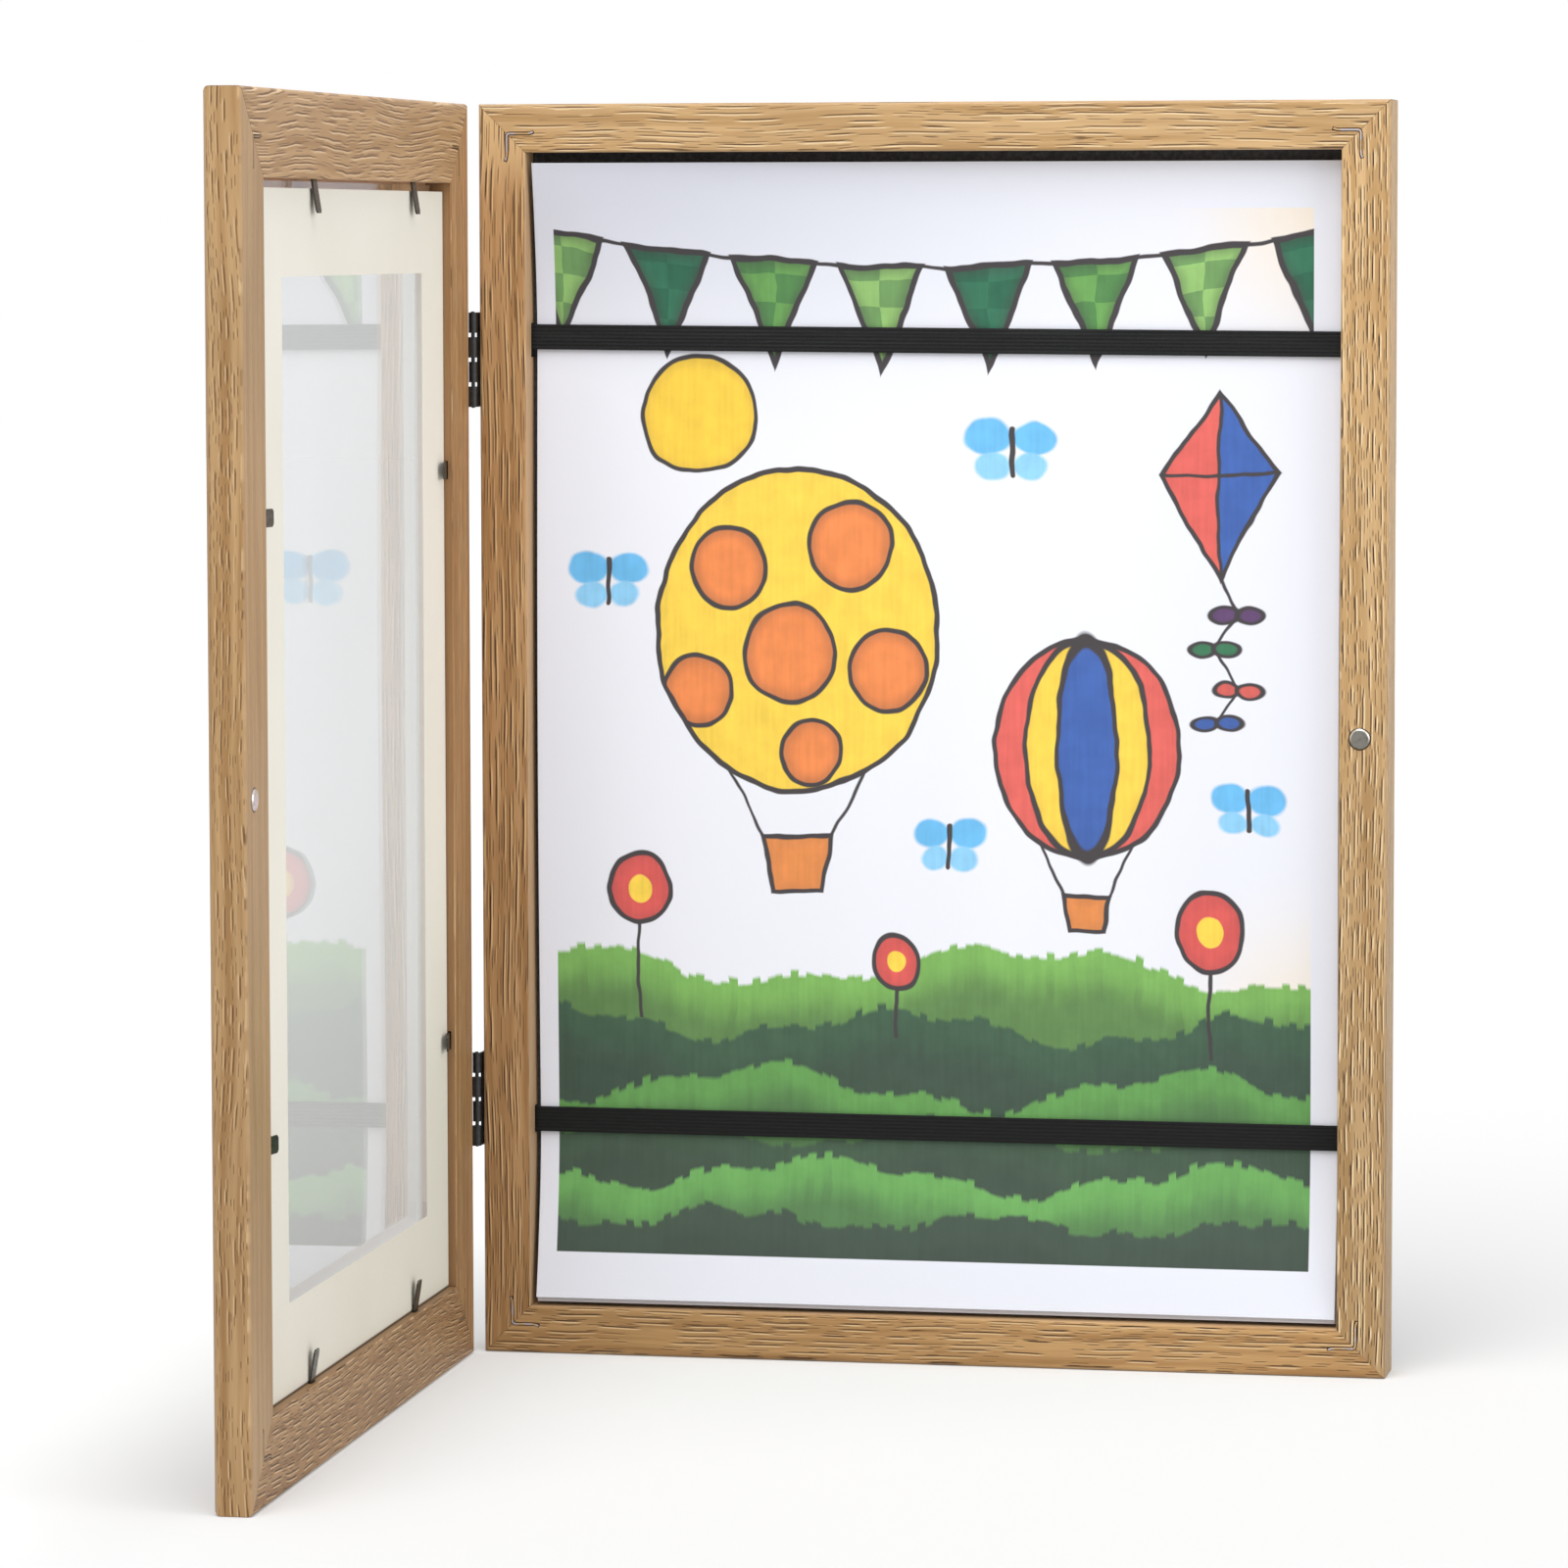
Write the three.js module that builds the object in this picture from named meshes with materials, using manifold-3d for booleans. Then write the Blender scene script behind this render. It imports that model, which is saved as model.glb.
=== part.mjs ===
// Front-opening art frame: a case that stores sheets of drawing paper behind two elastic straps,
// and a glazed, matted door hung on its left side by two butt hinges.
// Millimetres. +X to the right, +Y to the wall behind, +Z up. The origin is the middle of the
// underside of the case's bottom rail, so the floor is z = 0. The door stands open.
import * as THREE from "three";
import { mergeVertices } from "three/addons/utils/BufferGeometryUtils.js";
import Module from "manifold-3d";

const wasm = await Module();
wasm.setup();

// The sheets that the frame is made for, and their room in the case's pocket.
const sheetWidth = 210;
const sheetHeight = 297;
const sheetSideRoom = 1;
const sheetHeadRoom = 4;

// Clearances: between faces that rest on each other, round a piece let into another one,
// between the two halves of a mitre, and the overrun of every cutter.
const seatGap = 0.25;
const slotGap = 0.25;
const mitreGap = 0.12;
const overrun = 1;

// Case rails: outline of the moulding.
const caseRailWidth = 12.5;
const caseDepth = 16;
const pocketDepth = 9;
const caseLedge = 5.5;
const caseOuterRadius = 1.2;
const caseInnerRadius = 0.7;
const caseBackRadius = 0.4;

// Back board.
const boardThickness = 3;
const boardSideRoom = 0.5;

// Door: outline of the moulding, and what lies in its rebate, from the inside face outwards.
const doorRailWidth = 20.5;
const doorLip = 5;
const lipThickness = 2.4;
const matRecess = 2.2;
const matThickness = 2.2;
const glazingThickness = 1.8;
const glazingSideRoom = 0.5;
const matSideRoom = 0.5;
const matHeadRoom = 2.2;
const matOverlapSide = 32;
const matOverlapEnd = 28.4;
const doorOuterRadius = 1.6;
const doorInnerRadius = 1;
const doorRebateRadius = 0.3;
const doorSightRadius = 0.9;

// Hinges: rolled leaves on a pin, on the outer side faces of the case and of the door.
const doorAngleDegrees = 88.4;
const seamGap = 1.4;
const upperHingeInset = 66;
const lowerHingeInset = 66.8;
const knuckleLength = 5.3;
const knuckleGap = 1.1;
const knucklesPerLeaf = 2;
const leafThickness = 0.5;
const leafReach = 8.2;
const leafCorner = 1;
const leafSeat = 0.3;
const leafNotchGap = 0.35;
const curlDegrees = 282;
const pinRadius = 0.5;
const pinGap = 0.15;
const pinOverhang = 0.25;
const pinRim = 0.15;

// Countersunk hinge screws.
const screwHeadRadius = 1.5;
const screwShankRadius = 0.75;
const screwHeadDepth = 0.9;
const screwLength = 7;
const screwTip = 2;
const screwRim = 0.1;
const screwEdgeInset = 4.2;
const crossWidth = 0.35;
const crossLength = 1.7;
const crossDepth = 0.4;

// V-nails that draw the mitres together, flush in the face.
const nailLeg = 7;
const nailThickness = 0.45;
const nailDepth = 5;
const nailApexRadius = 0.8;
const nailFlare = 0.4;
const nailFlareLength = 1.1;
const caseNailInset = 7.6;
const doorNailInset = 11.3;

// Magnets that keep the door shut, a little above half height.
const magnetRadius = 2.65;
const magnetThickness = 2.6;
const magnetProud = 0.4;
const magnetChamfer = 0.3;
const magnetInset = 7.2;
const magnetRaise = 1.1;

// Flexible points that hold the glazing, the mat and the back board in their rebates.
const pointWidth = 4.2;
const pointThickness = 0.45;
const pointInWood = 4.6;
const pointReach = 8;
const pointTaper = 0.7;
const pointBendDegrees = 9;
const topPointShares = [-0.363, 0.522];
const bottomPointShares = [-0.477, 0.45];
const hingePointShares = [-0.424, 0.48];
const freePointShares = [-0.494, 0.396];
const longBackPointShares = [-0.4, 0.4];
const shortBackPointShares = [0.36];

// Elastic straps across the sheets, turned round the back board and stapled behind it.
const strapWidth = 6.5;
const strapThickness = 0.7;
const strapInset = 61;
const strapGap = 0.3;
const strapTail = 15;
const strapBend = 0.9;
const upperStrapTiltDegrees = 0.45;
const lowerStrapTiltDegrees = 0.05;
const stapleWire = 0.6;
const stapleBite = 2.2;
const stapleInset = 4;

// Sheets: a flat stack, and two loose ones in front whose ends curl forwards past the straps.
const sheetThickness = 0.25;
const stackThickness = 0.8;
const sheetGap = 0.25;
const stackRaise = 0.3;
const spareRaise = 0.6;
const artworkRaise = 1.6;
const sheetShift = -0.15;
const liftBetweenStraps = 1.4;
const liftBottomMiddle = 1.6;
const liftBottomLeft = 4.4;
const liftBottomRight = 3.4;
const liftTopMiddle = 0.5;
const liftTopLeft = 3.6;
const liftTopRight = 0.4;
const rippleHeight = 0.3;
const rippleLength = 34;
const spareShare = 0.55;
const curlPower = 1.5;

// Sawtooth hangers on the back.
const hangerLength = 44;
const hangerWidth = 5.4;
const hangerThickness = 0.7;
const hangerFoot = 5;
const hangerSlope = 2;
const hangerRise = 1.2;
const hangerProng = 3.4;
const hangerTeeth = 9;
const toothPitch = 3;
const toothDepth = 1.7;

// How finely round shapes are cut.
const edgeSteps = 4;
const bendSteps = 4;
const curlSteps = 18;
const roundSides = 24;
const screwSides = 16;
const pinSides = 16;
const sheetColumns = 14;
const sheetEndRows = 5;
const sheetMiddleRows = 8;

// Worked out from the values above.
const pocketWidth = sheetWidth + 2 * sheetSideRoom;
const pocketHeight = sheetHeight + sheetHeadRoom;
const frameWidth = pocketWidth + 2 * caseRailWidth;
const frameHeight = pocketHeight + 2 * caseRailWidth;
const caseFront = -caseDepth / 2;
const caseBack = caseDepth / 2;
const ledgeY = caseFront + pocketDepth;
const boardFront = ledgeY + seatGap;
const boardBack = boardFront + boardThickness;
const boardWidth = pocketWidth + 2 * (caseLedge - boardSideRoom);
const boardHeight = pocketHeight + 2 * (caseLedge - boardSideRoom);
const doorInside = caseFront - seamGap;
const matBack = doorInside - matRecess;
const glazingBack = matBack - matThickness - seatGap;
const lipBack = glazingBack - glazingThickness - seatGap;
const doorOutside = lipBack - lipThickness;
const rebateWidth = frameWidth - 2 * doorRailWidth;
const artworkBottom = caseRailWidth + artworkRaise;
const windowWidth = sheetWidth - 2 * matOverlapSide;
const windowBottom = artworkBottom + matOverlapEnd;
const windowTop = artworkBottom + sheetHeight - matOverlapEnd;
const knuckleRadius = pinRadius + pinGap + leafThickness;
const axisX = -frameWidth / 2 - leafSeat - knuckleRadius;
const axisY = caseFront - seamGap / 2;
const knuckleCount = 2 * knucklesPerLeaf;
const hingeLength = knuckleCount * knuckleLength + (knuckleCount - 1) * knuckleGap;
const quarterTurn = Math.PI / 2;

const materials = {
  oak: finish("#b98f5f", 0.62, 0),
  board: finish("#16181a", 0.9, 0),
  elastic: finish("#232527", 0.85, 0),
  paper: finish("#f1f1f3", 0.9, 0),
  mat: finish("#ebe6d8", 0.92, 0),
  nickel: finish("#c9ccd0", 0.25, 1),
  zinc: finish("#a9abae", 0.4, 1),
  blackSteel: finish("#1b1c1e", 0.45, 0.8),
  blackenedSteel: finish("#3a3b3a", 0.5, 0.8),
  glass: finish("#eef4f4", 0.05, 0),
};
materials.glass.transparent = true;
materials.glass.opacity = 0.25;

function finish(color, roughness, metalness) {
  return new THREE.MeshStandardMaterial({ color, roughness, metalness });
}

// A closed geometry as a solid that can be cut or joined.
function solidOf(geometry) {
  const bare = geometry.clone();
  bare.deleteAttribute("normal");
  bare.deleteAttribute("uv");
  const merged = mergeVertices(bare);
  return new wasm.Manifold(
    new wasm.Mesh({
      numProp: 3,
      vertProperties: merged.attributes.position.array,
      triVerts: new Uint32Array(merged.index.array),
    }),
  );
}

function meshOf(positions, index) {
  const geometry = new THREE.BufferGeometry();
  geometry.setAttribute("position", new THREE.Float32BufferAttribute(positions, 3));
  geometry.setIndex(index);
  geometry.computeVertexNormals();
  return geometry;
}

function geometryOf(solid) {
  const { vertProperties, triVerts } = solid.getMesh();
  return meshOf(vertProperties, Array.from(triVerts));
}

function joined(geometries) {
  const solids = geometries.map(solidOf);
  return geometryOf(solids.reduce((whole, next) => whole.add(next)));
}

function cutFrom(geometry, cutters) {
  const solids = cutters.map(solidOf);
  return geometryOf(solids.reduce((whole, next) => whole.subtract(next), solidOf(geometry)));
}

// A named piece. Its room is the space that it needs in what carries it, in its own frame.
function piece(name, geometry, material, room = []) {
  const mesh = new THREE.Mesh(geometry, material);
  mesh.name = name;
  mesh.userData.room = room;
  return mesh;
}

// Cuts the room of each fitted piece out of its host. All of them stand in the finished group.
function letInto(host, fitted) {
  const toHost = host.matrixWorld.clone().invert();
  const cutters = fitted.flatMap((part) => {
    const move = toHost.clone().multiply(part.matrixWorld);
    return part.userData.room.map((shape) => shape.clone().applyMatrix4(move));
  });
  host.geometry = cutFrom(host.geometry, cutters);
}

// A block given by its lowest and highest corners.
function block(low, high) {
  const size = high.map((value, axis) => value - low[axis]);
  const middle = high.map((value, axis) => (value + low[axis]) / 2);
  return new THREE.BoxGeometry(...size).translate(...middle);
}

// An outline in X and Z, made into a plate from y = 0 to y = thickness.
function standingPlate(shape, thickness) {
  const flat = new THREE.ExtrudeGeometry(shape, { depth: thickness, bevelEnabled: false });
  return flat.rotateX(quarterTurn).translate(0, thickness, 0);
}

// An outline in X and Y, made into a bar that is centred on z = 0.
function uprightBar(shape, length) {
  const bar = new THREE.ExtrudeGeometry(shape, { depth: length, bevelEnabled: false });
  return bar.translate(0, 0, -length / 2);
}

// A turned piece round the Y axis. Its profile runs up from the axis, out and back to the axis.
function turned(profile, sides) {
  const points = profile.map(([radius, y]) => new THREE.Vector2(radius, y));
  return new THREE.LatheGeometry(points, sides);
}

// A polyline with each inner corner rounded, starting that radius before the corner.
function roundedPath(corners, radius, steps) {
  const points = corners.map(([x, y]) => new THREE.Vector2(x, y));
  const path = new THREE.Path().moveTo(points[0].x, points[0].y);
  for (let i = 1; i < points.length - 1; i++) {
    const corner = points[i];
    const before = points[i - 1].clone().sub(corner).setLength(radius).add(corner);
    const after = points[i + 1].clone().sub(corner).setLength(radius).add(corner);
    path.lineTo(before.x, before.y);
    path.quadraticCurveTo(corner.x, corner.y, after.x, after.y);
  }
  const last = points.at(-1);
  path.lineTo(last.x, last.y);
  return path.getPoints(steps);
}

// The outline of a strip of sheet metal or webbing whose middle follows the path.
function stripShape(path, thickness) {
  const side = (sign) =>
    path.map((point, i) => {
      const before = path[Math.max(i - 1, 0)];
      const after = path[Math.min(i + 1, path.length - 1)];
      const into = point.clone().sub(before).normalize();
      const out = after.clone().sub(point).normalize();
      if (i === 0) into.copy(out);
      if (i === path.length - 1) out.copy(into);
      const along = into.clone().add(out).normalize();
      const normal = new THREE.Vector2(-along.y, along.x);
      const share = normal.dot(new THREE.Vector2(-into.y, into.x));
      return normal.multiplyScalar((sign * thickness) / 2 / share).add(point);
    });
  return new THREE.Shape([...side(1), ...side(-1).reverse()]);
}

// The outline of a moulding from its right-angled corners, each [across, y, radius].
function mouldingOutline(corners) {
  return corners.flatMap(([x, y, radius], i) => {
    if (!radius) return [new THREE.Vector2(x, y)];
    const corner = new THREE.Vector2(x, y);
    const [fromX, fromY] = corners.at(i - 1);
    const [toX, toY] = corners[(i + 1) % corners.length];
    const back = new THREE.Vector2(fromX, fromY).sub(corner).setLength(radius);
    const on = new THREE.Vector2(toX, toY).sub(corner).setLength(radius);
    const centre = corner.clone().add(back).add(on);
    return Array.from({ length: edgeSteps + 1 }, (_, step) => {
      const angle = (quarterTurn * step) / edgeSteps;
      const a = on.clone().multiplyScalar(-Math.cos(angle));
      const b = back.clone().multiplyScalar(-Math.sin(angle));
      return centre.clone().add(a).add(b);
    });
  });
}

// A rail with both ends mitred. The outline gives how far a point lies inside the outer edge,
// and its y; the rail runs along X, and its outer edge lies at z = 0.
function mitredRail(outline, span) {
  const ring = THREE.ShapeUtils.isClockWise(outline) ? outline.toReversed() : outline;
  const count = ring.length;
  const endGap = mitreGap * Math.SQRT1_2;
  const positions = [-1, 1].flatMap((sign) =>
    ring.flatMap(({ x: inward, y }) => [sign * (span / 2 - inward - endGap), y, inward]),
  );
  const index = [];
  for (let i = 0; i < count; i++) {
    const next = (i + 1) % count;
    index.push(i, count + next, next, i, count + i, count + next);
  }
  for (const [a, b, c] of THREE.ShapeUtils.triangulateShape(ring, [])) {
    index.push(a, b, c, count + c, count + b, count + a);
  }
  return meshOf(positions, index);
}

// Four groups, one for each side of a frame, in order round it. In each one X runs along the
// side, Z points into the frame from its middle, and the outer edge is at z = -reach.
function frameSides() {
  const level = { span: frameWidth, reach: frameHeight / 2 };
  const upright = { span: frameHeight, reach: frameWidth / 2 };
  const make = (turn, size) => {
    const side = new THREE.Group();
    side.position.z = frameHeight / 2;
    side.rotation.y = turn;
    side.userData = size;
    return side;
  };
  return {
    bottom: make(0, level),
    right: make(-quarterTurn, upright),
    top: make(2 * quarterTurn, level),
    left: make(quarterTurn, upright),
  };
}

// Puts a piece into a side's group: how far along it, its y, and how far inside the outer edge.
function putOnSide(side, part, along, y, inward) {
  part.position.set(along, y, inward - side.userData.reach);
  side.add(part);
  return part;
}

// Rails

function makeRails(sides, names, outline, material) {
  return Object.values(sides).map((side, i) => {
    const rail = piece(names[i], mitredRail(outline, side.userData.span), material);
    return putOnSide(side, rail, 0, 0, 0);
  });
}

function makeCaseRails(sides) {
  const names = ["case_rail_bottom", "case_stile_right", "case_rail_top", "case_stile_left"];
  const outline = mouldingOutline([
    [0, caseFront, caseOuterRadius],
    [caseRailWidth, caseFront, caseInnerRadius],
    [caseRailWidth, ledgeY, 0],
    [caseRailWidth - caseLedge, ledgeY, 0],
    [caseRailWidth - caseLedge, caseBack, caseBackRadius],
    [0, caseBack, caseBackRadius],
  ]);
  return makeRails(sides, names, outline, materials.oak);
}

function makeDoorRails(sides) {
  const names = ["door_rail_bottom", "door_stile_free", "door_rail_top", "door_stile_hinge"];
  const outline = mouldingOutline([
    [0, doorInside, doorInnerRadius],
    [doorRailWidth, doorInside, doorRebateRadius],
    [doorRailWidth, lipBack, 0],
    [doorRailWidth + doorLip, lipBack, 0],
    [doorRailWidth + doorLip, doorOutside, doorSightRadius],
    [0, doorOutside, doorOuterRadius],
  ]);
  return makeRails(sides, names, outline, materials.oak);
}

// V-nails: a bent strip with flared ends, driven in across each mitre.

function nailGeometry(grow) {
  const leg = nailLeg + grow;
  const bend = leg - nailFlareLength;
  const corners = [
    [leg, -nailFlare],
    [bend, 0],
    [0, 0],
    [0, bend],
    [-nailFlare, leg],
  ];
  const path = roundedPath(corners, nailApexRadius, bendSteps);
  const depth = nailDepth + 2 * grow;
  return standingPlate(stripShape(path, nailThickness + 2 * grow), depth).translate(0, -grow, 0);
}

// inward is +1 when the nail is driven towards +Y and -1 when it is driven towards -Y.
function makeCornerNails(sides, label, inset, faceY, inward) {
  const room = nailGeometry(slotGap);
  const shift = inward > 0 ? 0 : -nailDepth;
  return Object.values(sides).map((side, i) => {
    const nail = piece(`${label}_${i + 1}`, nailGeometry(0), materials.zinc, [room]);
    const along = inset - side.userData.span / 2;
    putOnSide(side, nail, along, faceY + shift, inset);
    return nail;
  });
}

// Magnets

function makeMagnet(name, faceY, outward) {
  const inner = magnetRadius - magnetChamfer;
  const profile = [
    [0, -magnetThickness / 2],
    [inner, -magnetThickness / 2],
    [magnetRadius, magnetChamfer - magnetThickness / 2],
    [magnetRadius, magnetThickness / 2 - magnetChamfer],
    [inner, magnetThickness / 2],
    [0, magnetThickness / 2],
  ];
  const bore = new THREE.CylinderGeometry(
    magnetRadius + slotGap,
    magnetRadius + slotGap,
    magnetThickness + 2 * slotGap,
    roundSides,
  );
  const magnet = piece(name, turned(profile, roundSides), materials.nickel, [bore]);
  magnet.userData.centreY = faceY + outward * (magnetProud - magnetThickness / 2);
  return magnet;
}

// Flexible points

// A strip from its end in the wood, at z = -pointInWood, to its free end. Past z = 0 it bends away
// from the panel that it holds. Each row gives a height and half the width there.
function pointGeometry() {
  const half = pointWidth / 2;
  const narrow = half - pointTaper;
  const slope = Math.tan(THREE.MathUtils.degToRad(pointBendDegrees));
  const rows = [
    [-pointInWood, narrow],
    [pointTaper - pointInWood, half],
    [0, half],
    [pointReach - pointTaper, half],
    [pointReach, narrow],
  ];
  const rings = rows.map(([z, wide]) => {
    const front = Math.max(z, 0) * slope - pointThickness / 2;
    const back = front + pointThickness;
    return [
      [-wide, front, z],
      [wide, front, z],
      [wide, back, z],
      [-wide, back, z],
    ];
  });
  const corners = rings[0].length;
  const index = [];
  for (let row = 0; row < rings.length - 1; row++) {
    for (let i = 0; i < corners; i++) {
      const a = row * corners + i;
      const b = row * corners + ((i + 1) % corners);
      index.push(a, b, b + corners, a, b + corners, a + corners);
    }
  }
  const last = (rings.length - 1) * corners;
  index.push(0, 2, 1, 0, 3, 2, last, last + 1, last + 2, last, last + 2, last + 3);
  return meshOf(rings.flat(2), index);
}

function pointSlot() {
  const half = pointWidth / 2 + slotGap;
  const deep = -pointInWood - slotGap;
  const thick = pointThickness / 2 + slotGap;
  return block([-half, -thick, deep], [half, thick, overrun]);
}

function makePoints(side, label, shares, y, inward) {
  return shares.map((share, i) => {
    const name = `${label}_${i + 1}`;
    const point = piece(name, pointGeometry(), materials.blackenedSteel, [pointSlot()]);
    return putOnSide(side, point, (share * side.userData.span) / 2, y, inward);
  });
}

// Back board and straps

function makeBackBoard() {
  const low = [-boardWidth / 2, boardFront, (frameHeight - boardHeight) / 2];
  const high = [boardWidth / 2, boardBack, (frameHeight + boardHeight) / 2];
  return piece("back_board", block(low, high), materials.board);
}

// The strap's middle line at one end, from its stapled tail round the board to the pocket wall.
const strapTailY = boardBack + strapGap + strapThickness / 2;
const strapTurnX = boardWidth / 2 - strapGap - strapThickness / 2 - boardSideRoom;
const strapLedgeY = boardFront - strapGap - strapThickness / 2;
const artworkBack = boardFront - seatGap - stackThickness - 2 * sheetGap - sheetThickness;
const artworkFront = artworkBack - sheetThickness;
const strapFrontY = artworkFront - strapGap - strapThickness / 2;
const strapPocketX = pocketWidth / 2 - strapThickness;

function makeStrap(name, height, tiltDegrees) {
  const end = (sign) => [
    [sign * (strapTurnX - strapTail), strapTailY],
    [sign * strapTurnX, strapTailY],
    [sign * strapTurnX, strapLedgeY],
    [sign * strapPocketX, strapFrontY],
  ];
  const path = roundedPath([...end(-1), ...end(1).reverse()], strapBend, bendSteps);
  const tilt = THREE.MathUtils.degToRad(tiltDegrees);
  const rise = Math.tan(tilt) * strapTurnX;
  const half = strapWidth / 2 + strapGap + rise;
  const ledgeTop = strapFrontY - strapThickness / 2 - strapGap;
  const notches = [-1, 1].map((sign) => {
    const ends = [sign * strapPocketX, sign * (frameWidth / 2 - caseRailWidth + caseLedge + overrun)];
    return block(
      [Math.min(...ends), ledgeTop, -half],
      [Math.max(...ends), ledgeY + overrun, half],
    );
  });
  const boardNotches = [-1, 1].map((sign) => {
    const inner = strapTurnX - strapThickness / 2 - strapGap;
    const ends = [sign * inner, sign * (boardWidth / 2 + overrun)];
    return block(
      [Math.min(...ends), boardFront - overrun, -half],
      [Math.max(...ends), boardBack + overrun, half],
    );
  });
  const band = uprightBar(stripShape(path, strapThickness), strapWidth);
  const strap = piece(name, band, materials.elastic);
  strap.rotation.y = tilt;
  const place = new THREE.Group();
  place.position.z = height;
  place.add(strap);
  place.userData = { strap, notches, boardNotches };
  return place;
}

function stapleGeometry(grow) {
  const half = strapWidth / 2 + strapGap + stapleWire / 2;
  const crown = strapTailY + strapThickness / 2 + strapGap + stapleWire / 2;
  const tip = boardBack - stapleBite - grow;
  const corners = [
    [-half, tip],
    [-half, crown],
    [half, crown],
    [half, tip],
  ];
  const path = roundedPath(corners, stapleWire, bendSteps);
  const shape = stripShape(path, stapleWire + 2 * grow);
  return uprightBar(shape, stapleWire + 2 * grow).rotateY(-quarterTurn);
}

function makeStaples(strap, firstNumber) {
  const inner = strapTurnX - strapTail + stapleInset;
  return [-1, 1].map((sign, i) => {
    const name = `strap_staple_${firstNumber + i}`;
    const staple = piece(name, stapleGeometry(0), materials.zinc, [stapleGeometry(slotGap)]);
    staple.position.x = sign * inner;
    strap.add(staple);
    return staple;
  });
}

// Sheets

// The height of each strap's flat band above the floor, and the lifts beyond the straps: in the
// middle, and what the left and right edges add.
const strapRise = Math.tan(THREE.MathUtils.degToRad(upperStrapTiltDegrees)) * (sheetWidth / 2);
const bandHalf = strapWidth / 2 + strapGap + strapRise;
const bandOuter = strapInset - bandHalf;
const bandInner = strapInset + bandHalf;
const bottomLifts = [liftBottomMiddle, liftBottomLeft, liftBottomRight];
const topLifts = [liftTopMiddle, liftTopLeft, liftTopRight];

// How far a sheet stands forward of its flat place, at x from its middle and height z. It lies
// flat under the straps, bulges between them and curls forwards beyond them.
function sheetLift(x, z) {
  const fromEnd = Math.min(z, frameHeight - z);
  const right = 0.5 + x / sheetWidth;
  const left = 1 - right;
  if (fromEnd > bandInner) {
    const share = Math.sin((Math.PI * (z - bandInner)) / (frameHeight - 2 * bandInner));
    const ripple = rippleHeight * Math.sin((2 * Math.PI * x) / rippleLength) * right;
    return share * (liftBetweenStraps * (left ** 2 + right ** 2) + rippleHeight + ripple);
  }
  if (fromEnd >= bandOuter) return 0;
  const past = Math.min((bandOuter - fromEnd) / (bandOuter - caseRailWidth), 1);
  const [middle, atLeft, atRight] = z < bandOuter ? bottomLifts : topLifts;
  return past ** curlPower * (middle + atLeft * left ** 2 + atRight * right ** 2);
}

// The heights of a sheet's rows of points, closer where it curls and one step under each strap.
function rowHeights(bottom) {
  const top = bottom + sheetHeight;
  const stops = [bottom, bandOuter, bandInner, frameHeight - bandInner, frameHeight - bandOuter, top];
  const counts = [sheetEndRows, 1, sheetMiddleRows, 1, sheetEndRows];
  const rows = counts.flatMap((count, i) =>
    Array.from({ length: count }, (_, step) =>
      THREE.MathUtils.lerp(stops[i], stops[i + 1], step / count),
    ),
  );
  return [...rows, top];
}

// A sheet with its back at the given y, bent forwards by its share of the lift.
function sheetGeometry(back, bottom, share) {
  const rows = rowHeights(bottom);
  const across = sheetColumns + 1;
  const layer = across * rows.length;
  const positions = [];
  for (const offset of [0, sheetThickness]) {
    for (const z of rows) {
      for (let column = 0; column < across; column++) {
        const x = (column / sheetColumns - 0.5) * sheetWidth;
        positions.push(x + sheetShift, back - offset - share * sheetLift(x, z), z);
      }
    }
  }
  const index = [];
  const quad = (a, b, c, d) => index.push(a, b, c, a, c, d);
  for (let row = 0; row < rows.length - 1; row++) {
    for (let column = 0; column < sheetColumns; column++) {
      const a = row * across + column;
      quad(a, a + across, a + across + 1, a + 1);
      quad(layer + a, layer + a + 1, layer + a + across + 1, layer + a + across);
    }
    const left = row * across;
    const right = left + sheetColumns;
    quad(left + across, left, layer + left, layer + left + across);
    quad(right, right + across, layer + right + across, layer + right);
  }
  for (let column = 0; column < sheetColumns; column++) {
    const top = layer - across + column;
    quad(column, column + 1, layer + column + 1, layer + column);
    quad(top + 1, top, layer + top, layer + top + 1);
  }
  return meshOf(positions, index);
}

function makeSheets() {
  const stackBack = boardFront - seatGap;
  const spareBack = stackBack - stackThickness - sheetGap;
  const stackBottom = caseRailWidth + stackRaise;
  const stack = block(
    [sheetShift - sheetWidth / 2, stackBack - stackThickness, stackBottom],
    [sheetShift + sheetWidth / 2, stackBack, stackBottom + sheetHeight],
  );
  const spare = sheetGeometry(spareBack, caseRailWidth + spareRaise, spareShare);
  const artwork = sheetGeometry(artworkBack, artworkBottom, 1);
  return [
    piece("sheet_stack", stack, materials.paper),
    piece("spare_sheet", spare, materials.paper),
    piece("artwork_sheet", artwork, materials.paper),
  ];
}

// Sawtooth hangers

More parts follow.
